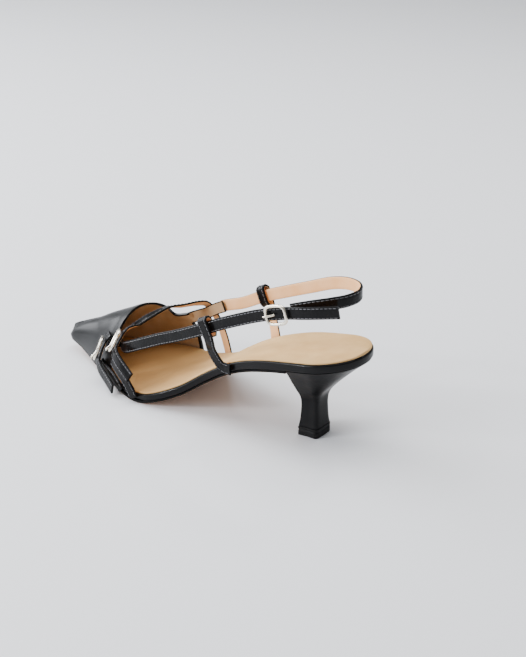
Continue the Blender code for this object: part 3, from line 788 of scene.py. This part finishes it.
@dataclass
class SoleUnit:
    """Outsole, covered board with its rounded black rim, and the insole sock."""

    edge_inset: float = 0.0012
    sock_inset: float = 0.0009
    sock: float = 0.0010
    sock_crown: float = 0.0005
    crown_power: float = 0.6
    outsole_round: float = 0.0007
    rim_round: float = 0.0011
    sock_round: float = 0.0005
    breast_x: float = 0.0050
    breast_gaps: float = 3.0
    sock_gaps: float = 0.4
    pitch: float = 0.0025
    across: int = 16
    bare_level: int = 7

    def outsole_inset(self, station: float) -> float:
        """Give how far the outsole's edge lies inside the outline."""
        return self.edge_inset + LAST.toe_tuck / 2 * LAST.toe_share(station)

    def outsole_low(self, station: float) -> float:
        """Give the height of the outsole's underside."""
        return LAST.feather(station) - LAST.gap - LAST.outsole

    def outsole_high(self, station: float) -> float:
        """Give the height of the outsole's top face."""
        return LAST.feather(station) - LAST.gap

    def sock_edge(self, station: float) -> float:
        """Give how far the sock's edge lies inside the outline."""
        return LAST.board_inset(station) + self.sock_inset

    def sock_low(self, station: float) -> float:
        """Give the height of the sock's underside, just clear of the board."""
        return LAST.board_top(station) + LAST.gap * self.sock_gaps

    def sock_high(self, station: float) -> float:
        """Give the height of the sock's top edge."""
        return LAST.board_top(station) + LAST.gap + self.sock

    def slab(self, stations: list[float], levels: list[tuple[Profile, Profile]], crown: float,
             bare: int | None = None) -> MeshParts:
        """Loft a slab with the shoe's outline.

        Args:
            stations: Stations from the heel to the toe.
            levels: Pairs of functions of the station, inset and height, from top to bottom.
            crown: How far the top face rises in its middle.
            bare: Level from which the second material shows, down to the bottom.

        Returns:
            The mesh's parts.
        """
        closed_heel, closed_toe = stations[0] <= 0.0, stations[-1] >= 1.0
        inner = list(reversed(stations))
        inner = inner[1:] if closed_toe else inner
        inner = inner[:-1] if closed_heel else inner
        loop = [(s, 1.0) for s in stations] + [(s, -1.0) for s in inner]
        parts = MeshParts()
        rings = []
        for inset, height in levels:
            ring = []
            for s, side in loop:
                point = LAST.outline(s, side) - LAST.outline_normal(s, side) * inset(s)
                ring.append(Vector((point.x, point.y, height(s))))
            rings.append(ring)
        parts.tube(rings, caps=False)
        size, count = len(loop), len(stations)
        if bare is not None:
            parts.indices = [1 if n // size >= bare else 0 for n in range(len(parts.faces))]
        for level, rise in ((0, crown), (len(rings) - 1, 0.0)):
            rows = []
            for i in range(count):
                partner = size - i if closed_heel else size - 1 - i
                alone = (closed_heel and i == 0) or (closed_toe and i == count - 1)
                left = level * size + i
                right = left if alone else level * size + partner
                row = [left]
                if not alone:
                    a, b = parts.points[left], parts.points[right]
                    for k in range(1, self.across):
                        u = k / self.across
                        mid = a.lerp(b, u)
                        mid.z += rise * math.sin(math.pi * u) ** self.crown_power
                        parts.points.append(mid)
                        row.append(len(parts.points) - 1)
                    row.append(right)
                rows.append(row)
            for first, second in zip(rows, rows[1:]):
                for k in range(self.across):
                    a, b = first[min(k, len(first) - 1)], first[min(k + 1, len(first) - 1)]
                    c, d = second[min(k + 1, len(second) - 1)], second[min(k, len(second) - 1)]
                    face = [v for n, v in enumerate((a, b, c, d)) if v not in (a, b, c, d)[:n]]
                    if len(face) > 2:
                        parts.faces.append(tuple(face if level == 0 else reversed(face)))
                        parts.indices.append(0 if level == 0 or bare is None else 1)
        return parts

    def rounded(self, inset: Profile, low: Profile, high: Profile, radius: float,
                steps: int = 4) -> list[tuple[Profile, Profile]]:
        """Give the levels of an edge with both corners rounded, from top to bottom.

        Args:
            inset: How far the edge lies inside the outline at a station.
            low: Height of the bottom face at a station.
            high: Height of the top face at a station.
            radius: Radius of the corners.
            steps: Levels for each corner.

        Returns:
            Pairs of an inset and a height, each a function of the station.
        """
        levels = []
        for k in range(steps + 1):
            angle = math.radians(90.0 * k / steps)
            levels.append((lambda s, a=angle: inset(s) + radius * (1.0 - math.sin(a)),
                           lambda s, a=angle: high(s) - radius * (1.0 - math.cos(a))))
        for k in range(steps + 1):
            angle = math.radians(90.0 * k / steps)
            levels.append((lambda s, a=angle: inset(s) + radius * (1.0 - math.cos(a)),
                           lambda s, a=angle: low(s) + radius * (1.0 - math.sin(a))))
        return levels

    def build(self) -> None:
        """Build and dress the three layers."""
        whole = LAST.stations(0.0, 1.0, self.pitch)
        breast = LAST.station_at(self.breast_x + self.breast_gaps * LAST.gap)
        front = [breast] + [s for s in whole if s > breast + LAST.gap / LAST.length]
        parts = self.slab(front, self.rounded(self.outsole_inset, self.outsole_low, self.outsole_high,
                                              self.outsole_round), 0.0, bare=self.bare_level)
        parts.add_piece("sole_outsole", [SOLE_EDGE.material(), SOLE.material()], Slot.OUTSOLE,
                        ("outsole",))
        parts = self.slab(whole, self.rounded(LAST.board_inset, LAST.feather, LAST.board_top,
                                              self.rim_round, 5), 0.0)
        parts.add_piece("board_rim", [PATENT.material()], Slot.PATENT, ("covered_board",))
        parts = self.slab(whole, self.rounded(self.sock_edge, self.sock_low, self.sock_high,
                                              self.sock_round), self.sock_crown)
        parts.add_piece("insole_sock_leather", [SOCK.material()], Slot.LINING, ("insole_sock",))


@dataclass
class HeelUnit:
    """Flared heel covered in patent leather, with its rubber top piece."""

    top_piece: float = 0.0065
    tip_length: float = 0.0134
    front_width: float = 0.0190
    rear_width: float = 0.0148
    taper: float = 0.45
    squareness: float = 0.30
    breast_x: float = 0.0050
    inset: float = 0.0006
    side_steps: int = 8
    arc_steps: int = 28
    levels: int = 60

    def loops(self) -> tuple[list[Vector], list[Vector]]:
        """Lay out matching loops of the tip and the seat.

        Returns:
            The points of both loops, from the outer front corner round the back.
        """
        back = LAST.station_at(-LAST.heel_reach + LAST.heel_round)
        front = LAST.station_at(self.breast_x)
        step = self.front_width - self.rear_width
        tip, seat = [], []
        for side in (1.0, -1.0):
            half_tip, half_seat = [], []
            for i in range(self.side_steps):
                t = i / self.side_steps
                width = self.front_width - step * self.taper * t
                half_tip.append(Vector((self.tip_length / 2 * (1.0 - t), side * width / 2, 0.0)))
                s = front + (back - front) * t
                half_seat.append(LAST.outline(s, side) - LAST.outline_normal(s, side) * self.inset)
            for i in range(self.arc_steps + 1):
                angle = math.radians(90.0 * i / self.arc_steps)
                wide = self.rear_width + step * (1.0 - self.taper) * math.cos(angle)
                half_tip.append(Vector((-self.tip_length / 2 * math.sin(angle) ** self.squareness,
                                        side * wide / 2 * max(math.cos(angle), 0.0) ** self.squareness,
                                        0.0)))
                s = back * (1.0 - math.sin(angle))
                half_seat.append(LAST.outline(s, side) - LAST.outline_normal(s, side) * self.inset)
            if side > 0:
                tip, seat = tip + half_tip, seat + half_seat
            else:
                tip += list(reversed(half_tip))[1:]
                seat += list(reversed(half_seat))[1:]
        return tip, seat

    def build(self) -> None:
        """Build and dress the heel and its top piece."""
        tip, seat = self.loops()
        parts = MeshParts()
        rings = []
        # height and inset of each level; the groove in the middle is the mould's parting line
        for z, shrink in ((0.0, 0.0006), (0.0003, 0.0), (0.0036, 0.0), (0.0041, 0.0003), (0.0046, 0.0),
                          (self.top_piece - 0.0003, 0.0), (self.top_piece, 0.0004)):
            factor = 1.0 - 2.0 * shrink / self.tip_length
            rings.append([Vector((p.x * factor, p.y * factor, z)) for p in tip])
        parts.tube(rings)
        parts.add_piece("heel_top_piece", [RUBBER.material()], Slot.RUBBER, ("top_piece",),
                        sharp=35.0)
        parts = MeshParts()
        floor = self.top_piece + LAST.gap
        rings = []
        for i in range(self.levels + 1):
            share = i / self.levels
            stem = smooth_value(HEEL_PROFILE, 1, share)
            flare = smooth_value(HEEL_PROFILE, 2, share)
            ring = []
            for low, high in zip(tip, seat):
                ceiling = LAST.feather(LAST.station_at(high.x)) - LAST.gap
                ring.append(Vector((low.x * stem * (1.0 - flare) + high.x * flare,
                                    low.y * stem * (1.0 - flare) + high.y * flare,
                                    floor + (ceiling - floor) * share)))
            rings.append(ring)
        parts.tube(rings, caps=False)
        half = len(tip) // 2
        top = len(parts.points) - len(tip)
        for base, flip in ((0, True), (top, False)):
            for i in range(half):
                a, b, c, d = i, i + 1, len(tip) - 2 - i, len(tip) - 1 - i
                face = [base + a, base + b, base + c, base + d]
                face = face[:3] if b == c else face
                face = list(dict.fromkeys(face))
                if len(face) > 2:
                    parts.faces.append(tuple(reversed(face)) if flip else tuple(face))
                    parts.indices.append(0)
        parts.add_piece("heel_cover", [PATENT.material()], Slot.PATENT, ("heel",), sharp=38.0)


@dataclass
class UpperUnit:
    """Vamp and inner quarter: polished calf outside, kid lining inside, a turned black edge."""

    wing_outer: float = 0.742
    wing_inner: float = 0.646
    rows: int = 11
    columns: tuple[int, int, int] = (9, 6, 13)
    tail_rows: int = 3
    finer: int = 4
    steepness: float = 3.0
    bulge: float = 0.0022
    bulge_share: float = 0.40
    turned_edge: int = 2
    crease_end: float = 0.93

    def feather_path(self) -> list[tuple[float, float, float]]:
        """Lay out the places along the lower edge, from the outer end round the toe.

        Returns:
            Share of the edge, station and turn of each place.
        """
        near, end, far = (count * self.finer for count in self.columns)
        toe_start = 1.0 - 2.0 * LAST.toe_round / LAST.length
        outer = [self.wing_outer + (toe_start - self.wing_outer) * i / near for i in range(near)]
        tip = [toe_start + (1.0 - toe_start) * math.sin(math.radians(90.0 * i / end))
               for i in range(end)]
        inner = [self.wing_inner + (toe_start - self.wing_inner) * i / far for i in range(far)]
        path = [(s, 0.0) for s in outer + tip] + [(1.0, 90.0)]
        path += [(s, 180.0) for s in reversed(inner + tip)]
        return [(i / (len(path) - 1), s, turn) for i, (s, turn) in enumerate(path)]

    def crease(self, station: float, turn: float) -> float:
        """Measure the vamp's creases.

        Args:
            station: Share of the shoe's length.
            turn: Angle round the section from the outer feather edge, in degrees.

        Returns:
            How far the face rises there; a trough is below zero.
        """
        height = 0.0
        for middle, at_turn, reach, half, rise in VAMP_CREASES:
            along = (station - middle) * LAST.length / (half * MM)
            around = (turn - at_turn) / reach
            height += rise * MM * math.exp(-along * along - around * around)
        return height

    def build(self, tail: list[tuple[Vector, Vector]]) -> None:
        """Build and dress the upper.

        Args:
            tail: Lower and upper edge of the stretch that runs on into the sling.
        """
        rows = self.rows * self.finer
        points, faces, marks = [], [], []
        path = self.feather_path()
        for share, foot, side_turn in path:
            top, top_turn = smooth_value(TOPLINE, 1, share), smooth_value(TOPLINE, 2, share)
            bend = 1.0 + self.steepness * LAST.toe_share(foot)
            outward = Vector((1.0, 0.0, 0.0))
            if side_turn != 90.0:
                outward = LAST.outline_normal(foot, 1.0 if side_turn == 0.0 else -1.0)
            start_turn = side_turn if side_turn != 90.0 else top_turn
            for row in range(rows + 1):
                t = row / rows
                turn = start_turn + (top_turn - start_turn) * (1.0 - (1.0 - t) ** bend)
                station = foot + (top - foot) * t
                point = LAST.face(station, turn)
                if 0 < row < rows and foot < self.crease_end:
                    point += LAST.face_normal(station, turn) * self.crease(station, turn)
                swell = math.sin(math.pi * min(1.0, t / self.bulge_share))
                point += outward * self.bulge * LAST.toe_share(foot) * swell
                if side_turn == 90.0 and row == 0:
                    point.z = LAST.feather(foot)
                points.append(point)
        size = rows + 1
        for c in range(len(path) - 1):
            for r in range(rows):
                a = c * size + r
                faces.append((a, a + 1, a + size + 1, a + size))
                near_rear = c < self.turned_edge or c >= len(path) - 1 - self.turned_edge
                near_rear = near_rear and (c < self.turned_edge or r < rows - self.tail_rows * self.finer)
                marks.append(0 if r >= rows - self.turned_edge or near_rear else 1)
        count = self.tail_rows * self.finer
        previous = [(len(path) - 1) * size + rows - count + i for i in range(count + 1)]
        for low, high in tail:
            current = []
            for i in range(count + 1):
                points.append(low.lerp(high, i / count))
                current.append(len(points) - 1)
            for i in range(count):
                faces.append((previous[i], previous[i + 1], current[i + 1], current[i]))
                marks.append(0 if i in (0, count - 1) else 1)
            previous = current
        self.shell(points, faces, marks)

    def shell(self, points: list[Vector], faces: list[tuple[int, ...]], marks: list[int]) -> None:
        """Give the sheet its wall: calf outside and on the edges, lining inside.

        Args:
            points: Points of the outer face.
            faces: Faces of the outer side.
            marks: 0 where the black edge is turned over to the inside, 1 where lining shows.
        """
        normals = [Vector() for _ in points]
        for face in faces:
            a, b, c, d = (points[i] for i in face)
            normal = (c - a).cross(d - b)
            for i in face:
                normals[i] += normal
        inner = [p - n.normalized() * LAST.wall for p, n in zip(points, normals)]
        base = len(points)
        edges = dict.fromkeys((face[i], face[(i + 1) % 4]) for face in faces for i in range(4))
        all_faces = list(faces)
        indices = [0] * len(faces)
        for face, mark in zip(faces, marks):
            all_faces.append(tuple(base + i for i in reversed(face)))
            indices.append(mark)
        for a, b in edges:
            if (b, a) not in edges:
                all_faces.append((b, a, base + a, base + b))
                indices.append(0)
        MeshParts(points + inner, all_faces, indices).add_piece(
            "upper_vamp_and_quarter", [CALF.material(), LINING.material()], Slot.CALF, ("upper",),
            sharp=60.0)


@dataclass
class Strap:
    """Flat strap of patent leather with a tan back, a stitched face and rounded edges."""

    name: str
    node: str
    points: list[Vector]
    facings: list[Vector]
    width: float
    thickness: float = 0.0016
    finish: Finish = CRINKLED
    corner: float = 0.00055
    pad: float = 0.00012
    groove: float = 0.00016
    groove_place: tuple[float, float] = (0.75, 0.13)
    stitch: float = 0.0019
    stitch_pitch: float = 0.0027
    stitch_inset: float = 0.00105
    stitch_start: float = 0.7
    stitch_arc: tuple[Row, ...] = ((0.0, -0.0001), (0.15, 0.00012), (0.5, 0.0002),
                                   (0.85, 0.00012), (1.0, -0.0001))
    thread: float = 0.00022
    thread_sides: int = 6
    pleats: tuple[Row, ...] = ()
    hole: int = 0
    hole_radius: float = 0.0009
    hole_rim: float = 0.00016
    hole_depth: float = 0.0002
    hole_lift: float = 0.00008
    hole_sides: int = 24

    def section(self) -> tuple[list[tuple[float, float]], list[int]]:
        """Lay out the strap's section.

        Returns:
            Points across and outward, and the material number of each side.
        """
        w, t, r = self.width / 2, self.thickness / 2, self.corner
        middle, reach = self.groove_place
        top = []
        for k in range(9):
            u = -1.0 + k / 4
            a = (w - r) * u
            crown = self.pad * (1.0 - abs(u) ** 4)
            groove = self.groove if abs(abs(u) - middle) < reach else 0.0
            top.append((a, t + crown - groove - self.pad))
        right = [(w - r + r * math.sin(math.radians(a)), t - self.pad - r + r * math.cos(math.radians(a)))
                 for a in (30, 60, 90)]
        right += [(w - r + r * math.cos(math.radians(a)), -t + r - r * math.sin(math.radians(a)))
                  for a in (0, 45)]
        bottom = [((w - r) * u, -t) for u in (1.0, 0.5, 0.0, -0.5, -1.0)]
        left = [(-a, o) for a, o in reversed(right)]
        section = top + right + bottom + left
        back = {len(top) + len(right) + k for k in range(-1, 5)}
        return section, [1 if i in back else 0 for i in range(len(section))]

    def frames(self) -> list[tuple[Vector, Vector, Vector]]:
        """Find the strap's own directions.

        Returns:
            The middle, the direction across and the outward direction at each point.
        """
        found = []
        for point, along, facing in zip(self.points, tangents(self.points), self.facings):
            across = along.cross(facing).normalized()
            found.append((point, across, across.cross(along).normalized()))
        return found

    def build(self) -> None:
        """Build the strap and its two rows of stitches."""
        section, marks = self.section()
        whole = self.length()
        parts = MeshParts()
        rings = []
        distance, last = 0.0, self.points[0]
        for point, across, out in self.frames():
            distance += (point - last).length
            last = point
            ring = []
            for a, o in reversed(section):
                rise = self.pleat(distance, a, whole) if o > 0.0 else 0.0
                ring.append(point + across * a + out * (o + rise))
            rings.append(ring)
        order = list(reversed(marks))
        order = order[1:] + order[:1]
        parts.tube(rings, marks=order)
        parts.add_piece(self.name, [self.finish.material(), STRAP_LINING.material()], Slot.PATENT,
                        (self.node,), sharp=75.0)
        self.add_stitches()
        if self.hole:
            self.add_hole()

    def length(self) -> float:
        """Give the strap's length along its middle."""
        return sum((b - a).length for a, b in zip(self.points, self.points[1:]))

    def pleat(self, distance: float, across: float, whole: float) -> float:
        """Give the height of the pleats on the face.

        Args:
            distance: Distance along the strap.
            across: Distance from its middle.
            whole: The strap's length.

        Returns:
            How far the face rises there; a trough is below zero.
        """
        height = 0.0
        for share, slant, half, rise in self.pleats:
            middle = share * whole + slant * MM * across / (self.width / 2)
            height += rise * MM * math.exp(-((distance - middle) / (half * MM)) ** 2)
        return height * (1.0 - (2.0 * across / self.width) ** 4)

    def add_hole(self) -> None:
        """Show one hole for the prong: a raised ring of leather round a dark disc, painted shade that
        stands in for the hole's depth.
        """
        point, across, out = self.frames()[self.hole]
        along = across.cross(out)
        face = self.thickness / 2 - self.pad
        rings = [circle(point + out * (face + rise), across, along, self.hole_radius, self.hole_sides)
                 for rise in (0.0, -self.hole_depth, self.hole_lift)]
        parts = MeshParts()
        wire(parts, rings[0], self.hole_rim, True, 8)
        parts.add_piece(f"{self.name}_hole_ring", [self.finish.material()], Slot.PATENT)
        # painted shade: a near-black disc in place of a cut hole, standing in for the shade inside it
        parts = MeshParts()
        parts.tube(rings[1:])
        parts.add_piece(f"{self.name}_hole_painted_shade", [RUBBER.material()], Slot.PATENT)

    def add_stitches(self) -> None:
        """Lay a row of short thread stitches along both edges of the face."""
        frames = self.frames()
        lengths = [0.0]
        for a, b in zip(self.points, self.points[1:]):
            lengths.append(lengths[-1] + (b - a).length)

        def at(distance: float, side: float, lift: float) -> Vector:
            """Find a point of the stitch line.

            Args:
                distance: Distance along the strap.
                side: 1 or -1, for the strap's two edges.
                lift: Height over the face.

            Returns:
                The point.
            """
            k = 0
            while k < len(lengths) - 2 and lengths[k + 1] < distance:
                k += 1
            t = (distance - lengths[k]) / (lengths[k + 1] - lengths[k])
            (p0, a0, o0), (p1, a1, o1) = frames[k], frames[k + 1]
            point, across, out = p0.lerp(p1, t), a0.lerp(a1, t), o0.lerp(o1, t)
            return (point + across * side * (self.width / 2 - self.stitch_inset)
                    + out * (self.thickness / 2 - self.pad + lift))

        parts = MeshParts()
        for side in (1.0, -1.0):
            place = self.stitch_pitch * self.stitch_start
            while place + self.stitch < lengths[-1]:
                line = [at(place + self.stitch * u, side, lift) for u, lift in self.stitch_arc]
                wire(parts, line, self.thread, False, self.thread_sides)
                place += self.stitch_pitch
        parts.add_piece(f"{self.name}_stitches", [THREAD.material()], Slot.PATENT)


@dataclass
class Buckle:
    """Rounded wire frame with its prong, which lie over their strap."""

    name: str
    strap: Strap
    at: int
    length: float
    width: float
    tip: float
    wire: float = 0.0020
    prong: float = 0.0014
    slack: float = 0.0007
    squareness: float = 0.55
    ring_points: int = 72
    wire_sides: int = 16
    prong_sides: int = 12
    prong_steps: int = 6
    prong_start: float = 0.12
    prong_bend: float = 0.20
    prong_rise: float = 0.75
    overhang: float = 0.6
    taper: float = 0.35

    def build(self) -> None:
        """Build and dress the frame and the prong."""
        points = self.strap.points
        centre = points[self.at]
        reach = 2 * STEPS // 3
        along = (points[self.at + reach] - points[self.at - reach]).normalized()
        facing = self.strap.facings[self.at]
        out = (facing - along * facing.dot(along)).normalized()
        across = along.cross(out).normalized()
        thick = self.strap.thickness
        swing = thick / 2 + LAST.gap + self.slack + self.wire / 2

        def place(a: float, b: float, c: float) -> Vector:
            """Give a point from distances along, across and outward."""
            return centre + along * a + across * b + out * c

        ring = []
        for i in range(self.ring_points):
            turn = 2.0 * math.pi * i / self.ring_points
            a = math.copysign(abs(math.cos(turn)) ** self.squareness, math.cos(turn)) * self.length / 2
            b = math.copysign(abs(math.sin(turn)) ** self.squareness, math.sin(turn)) * self.width / 2
            ring.append(place(a, b, swing))
        parts = MeshParts()
        wire(parts, ring, self.wire / 2, True, self.wire_sides)
        parts.add_piece(f"{self.name}_frame_wire", [METAL.material()], Slot.METAL,
                        (f"{self.name}_frame",))
        lie = thick / 2 + LAST.gap + self.prong / 2
        rest = swing + self.wire / 2 + LAST.gap + self.prong / 2
        half, tip = self.length / 2, self.tip
        knots = [place(tip * self.length * self.prong_start, 0.0, lie + LAST.gap),
                 place(tip * self.length * self.prong_bend, 0.0, lie + thick * self.prong_rise),
                 place(tip * half, 0.0, rest),
                 place(tip * (half + self.wire * self.overhang), 0.0, rest - LAST.gap)]
        line = smooth_route(knots, self.prong_steps)
        radii = [self.prong / 2 * (1.0 - self.taper * (i / (len(line) - 1)) ** 3)
                 for i in range(len(line))]
        parts = MeshParts()
        wire(parts, line, radii, False, self.prong_sides)
        parts.add_piece(f"{self.name}_prong_wire", [METAL.material()], Slot.METAL,
                        (f"{self.name}_prong",))


@dataclass
class StrapWork:
    """All straps of the shoe, their loops and buckles."""

    belt_width: float = 0.0075
    sling_width: float = 0.0080
    support_width: float = 0.0075
    strap: float = 0.0016
    slack: float = 0.0007
    loop_stem: float = 1.5
    loop_end: tuple[tuple[float, float], ...] = ((1.0, 0.8), (0.8, 1.25), (0.4, 1.6))
    loop_turn: int = 30
    support_steps: int = 6
    tail_steps: int = 8
    tail_skip: int = 4
    lift: float = 0.0016
    sock: float = 0.0010

    def level_outward(self, point: Vector, along: Vector) -> Vector:
        """Find the level facing of a standing strap, away from the middle of the foot.

        Args:
            point: A point of the strap's middle.
            along: The strap's direction there.

        Returns:
            The unit facing.
        """
        out = Vector((along.y, -along.x, 0.0)).normalized()
        middle = Vector((max(point.x, 0.0), 0.0, point.z))
        return out if out.dot(point - middle) >= 0.0 else -out

    def standing(self, rows: tuple[Row, ...], steps: int = STEPS) -> tuple[list[Vector], Facing]:
        """Lay out a strap that stands free of the last.

        Args:
            rows: Station, place across and height of each knot.
            steps: Points for each stretch between two knots.

        Returns:
            The points and the facings.
        """
        knots = [Vector((LAST.x_at(s), across * LAST.ball_width / 2,
                         LAST.feather(s) + up * LAST.ridge_height)) for s, across, up in rows]
        points = smooth_route(knots, steps)
        return points, [self.level_outward(p, d) for p, d in zip(points, tangents(points))]

    def following(self, rows: tuple[Row, ...]) -> tuple[list[Vector], Facing]:
        """Lay out a strap that follows the last.

        Args:
            rows: Station, turn, lift in strap thicknesses and lean in degrees of each knot.

        Returns:
            The points and the facings.
        """
        points, facings = [], []
        for station, turn, lift, lean in rows:
            normal = LAST.face_normal(station, turn)
            points.append(LAST.face(station, turn) + normal * lift * self.strap)
            lean = math.radians(lean)
            facings.append(normal * math.cos(lean) + Vector((math.sin(lean), 0.0, 0.0)))
        return smooth_route(points, STEPS), [f.normalized() for f in smooth_route(facings, STEPS)]

    def rim_place(self, station: float, side: float, height: float) -> Vector:
        """Give the place of a support's middle beside the board's edge."""
        outward = LAST.outline_normal(station, side) * (LAST.gap + self.strap / 2 + self.slack)
        return LAST.outline(station, side) + outward + Vector((0.0, 0.0, height))

    def support(self, name: str, side: float, foot: float, rim: float, loop: float, bow: float,
                carried: list[Vector]) -> Strap:
        """Lay out a strap from the board's edge that loops round another strap.

        Args:
            name: The CAD node's name.
            side: 1 on the outer side and -1 on the inner.
            foot: Station of its lower end.
            rim: Station where it passes the board's top edge.
            loop: Station of its loop.
            bow: How far the stem curves toward the toe.
            carried: Points of the strap that it carries.

        Returns:
            The strap.
        """
        # the same row of the carried strap as in the CAD source, where it is sampled in thirds
        coarse = carried[::STEPS // 3]
        middle = min(range(len(coarse)), key=lambda i: abs(coarse[i].x - LAST.x_at(loop)))
        centre, along = coarse[middle], tangents(coarse)[middle]
        out = self.level_outward(centre, along)
        up = out.cross(along).normalized()
        up = -up if up.z < 0.0 else up
        off, half = self.strap + LAST.gap + self.slack, self.sling_width / 2

        def beside(outward: float, upward: float) -> Vector:
            """Give a point beside the carried strap."""
            return centre + out * outward + up * upward

        high = self.rim_place(rim, side, LAST.board_top(rim) + self.sock)
        stem = beside(off, -half * self.loop_stem)
        at_rim = LAST.outline_normal(rim, side)
        knots = [self.rim_place(foot, side, LAST.feather(foot) + self.lift), high,
                 (high + stem) / 2 + Vector((bow, 0.0, 0.0)), stem]
        facings = [LAST.outline_normal(foot, side), at_rim, (at_rim + out).normalized(), out]
        for angle in range(0, 181, self.loop_turn):
            turn = math.radians(angle)
            knots.append(beside(off * math.cos(turn), half + off * math.sin(turn)))
            facings.append(out * math.cos(turn) + up * math.sin(turn))
        knots += [beside(-off * share, -half * down) for share, down in self.loop_end]
        facings += [-out for _ in self.loop_end]
        points = smooth_route(knots, self.support_steps)
        return Strap(f"{name}_leather", name, points,
                     [f.normalized() for f in smooth_route(facings, self.support_steps)],
                     self.support_width, pleats=LOOP_PLEATS)

    def build(self) -> None:
        """Build the upper, the straps, the loops and the buckles."""
        tail = Strap("", "", *self.standing(QUARTER_TAIL, self.tail_steps), self.sling_width)
        pairs = []
        for point, across, _ in tail.frames():
            pair = [point - across * self.sling_width / 2, point + across * self.sling_width / 2]
            pairs.append(tuple(sorted(pair, key=lambda p: p.z)))
        UpperUnit().build(pairs[self.tail_skip:])
        straps = {}
        for name, node, route, width, pleats, hole in (
                ("sling", "sling_strap", self.standing(SLING), self.sling_width, SLING_PLEATS, 0),
                ("side_strap", "side_strap", self.standing(SIDE_STRAP), self.sling_width, SIDE_PLEATS,
                 10 * STEPS + 1),
                ("rear_belt", "rear_belt", self.following(REAR_BELT), self.belt_width, BELT_PLEATS, 0),
                ("front_belt", "front_belt", self.following(FRONT_BELT), self.belt_width, (), 0),
                ("rear_anchor", "rear_anchor", self.following(REAR_ANCHOR), self.belt_width, (), 0),
                ("front_anchor", "front_anchor", self.following(FRONT_ANCHOR), self.belt_width, (), 0)):
            straps[node] = Strap(f"{name}_leather", node, *route, width, pleats=pleats, hole=hole)
            straps[node].build()
        self.support("outer_support", 1.0, foot=0.330, rim=0.362, loop=0.373, bow=0.0020,
                     carried=straps["side_strap"].points).build()
        self.support("inner_support", -1.0, foot=0.340, rim=0.340, loop=0.394, bow=0.0,
                     carried=straps["sling_strap"].points).build()
        for name, strap, row, length, width, tip in (
                ("sling_buckle", "side_strap", 10, 0.0140, 0.0114, -1.0),
                ("rear_buckle", "rear_belt", 12, 0.0150, 0.0125, 1.0),
                ("front_buckle", "front_belt", 4, 0.0150, 0.0125, 1.0)):
            Buckle(name, straps[strap], row * STEPS, length, width, tip).build()


@dataclass
class Studio:
    """Wide pale floor, an even room light, soft lamps and the camera."""

    camera_at: tuple[float, float, float] = (-0.4426, 0.6447, 0.4205)
    forward: tuple[float, float, float] = (0.5482, -0.7302, -0.4077)
    focal_px: float = 1400.0
    frame_px: float = 657.0
    sensor_mm: float = 36.0
    far: float = 20.0
    floor_reach: float = 4.0
    floor_colour: str = "E6E7EA"
    floor_roughness: float = 0.55
    floor_specular: float = 0.25
    room_colour: str = "EEF0F3"
    room_strength: float = 0.42
    aim: tuple[float, float, float] = (0.08, 0.0, 0.04)

    def add_camera(self) -> None:
        """Place the camera at the photograph's angle."""
        data = bpy.data.cameras.new("studio_camera")
        data.sensor_width = self.sensor_mm
        data.lens = self.focal_px / self.frame_px * data.sensor_width
        data.clip_end = self.far
        camera = bpy.data.objects.new("studio_camera", data)
        camera.location = self.camera_at
        camera.rotation_euler = Vector(self.forward).to_track_quat("-Z", "Y").to_euler()
        bpy.context.scene.collection.objects.link(camera)
        bpy.context.scene.camera = camera

    def add_floor(self) -> None:
        """Lay a wide sheet of pale, slightly cool paper as the floor."""
        material, _, shader = new_material("matte_studio_paper_pale_grey")
        shader.inputs["Base Color"].default_value = srgb(self.floor_colour)
        shader.inputs["Roughness"].default_value = self.floor_roughness
        shader.inputs["Specular IOR Level"].default_value = self.floor_specular
        mesh = bpy.data.meshes.new("floor_sheet")
        r = self.floor_reach
        mesh.from_pydata([(-r, -r, 0), (r, -r, 0), (r, r, 0), (-r, r, 0)], [], [(0, 1, 2, 3)])
        mesh.materials.append(material)
        floor = bpy.data.objects.new("floor_sheet", mesh)
        bpy.context.scene.collection.objects.link(floor)

    def add_light(self, name: str, at: tuple[float, float, float], size: float, power: float,
                  colour: str = "FFFFFF") -> None:
        """Add a soft square light that faces the shoe.

        Args:
            name: Name of the light.
            at: Its place.
            size: Side of its square.
            power: Watts.
            colour: sRGB hex colour.
        """
        data = bpy.data.lights.new(name, "AREA")
        data.size = size
        data.energy = power
        data.color = srgb(colour)[:3]
        light = bpy.data.objects.new(name, data)
        light.location = at
        turned = (Vector(self.aim) - light.location).to_track_quat("-Z", "Y")
        light.rotation_euler = turned.to_euler()
        bpy.context.scene.collection.objects.link(light)

    def build(self) -> None:
        """Build the studio."""
        self.add_camera()
        self.add_floor()
        world = bpy.data.worlds.new("studio_room")
        world.use_nodes = True
        room = world.node_tree.nodes["Background"]
        room.inputs["Color"].default_value = srgb(self.room_colour)
        room.inputs["Strength"].default_value = self.room_strength
        bpy.context.scene.world = world
        self.add_light("top_softbox", (0.30, -0.15, 1.5), 1.4, 27.0)
        self.add_light("window_softbox", (1.5, 0.1, 0.8), 1.2, 42.0, "F7FAFF")
        self.add_light("side_softbox", (0.9, 1.4, 0.9), 0.9, 26.0, "F7FAFF")
        self.add_light("glint_lamp", (0.1, -0.9, 1.0), 0.18, 3.0)
        self.add_light("edge_lamp", (0.95, 1.15, 0.75), 0.12, 6.0)


def main() -> None:
    """Build the studio and the shoe."""
    logging.basicConfig(level=logging.INFO, format="%(message)s")
    Studio().build()
    SoleUnit().build()
    HeelUnit().build()
    StrapWork().build()


if __name__ == "__main__":
    main()
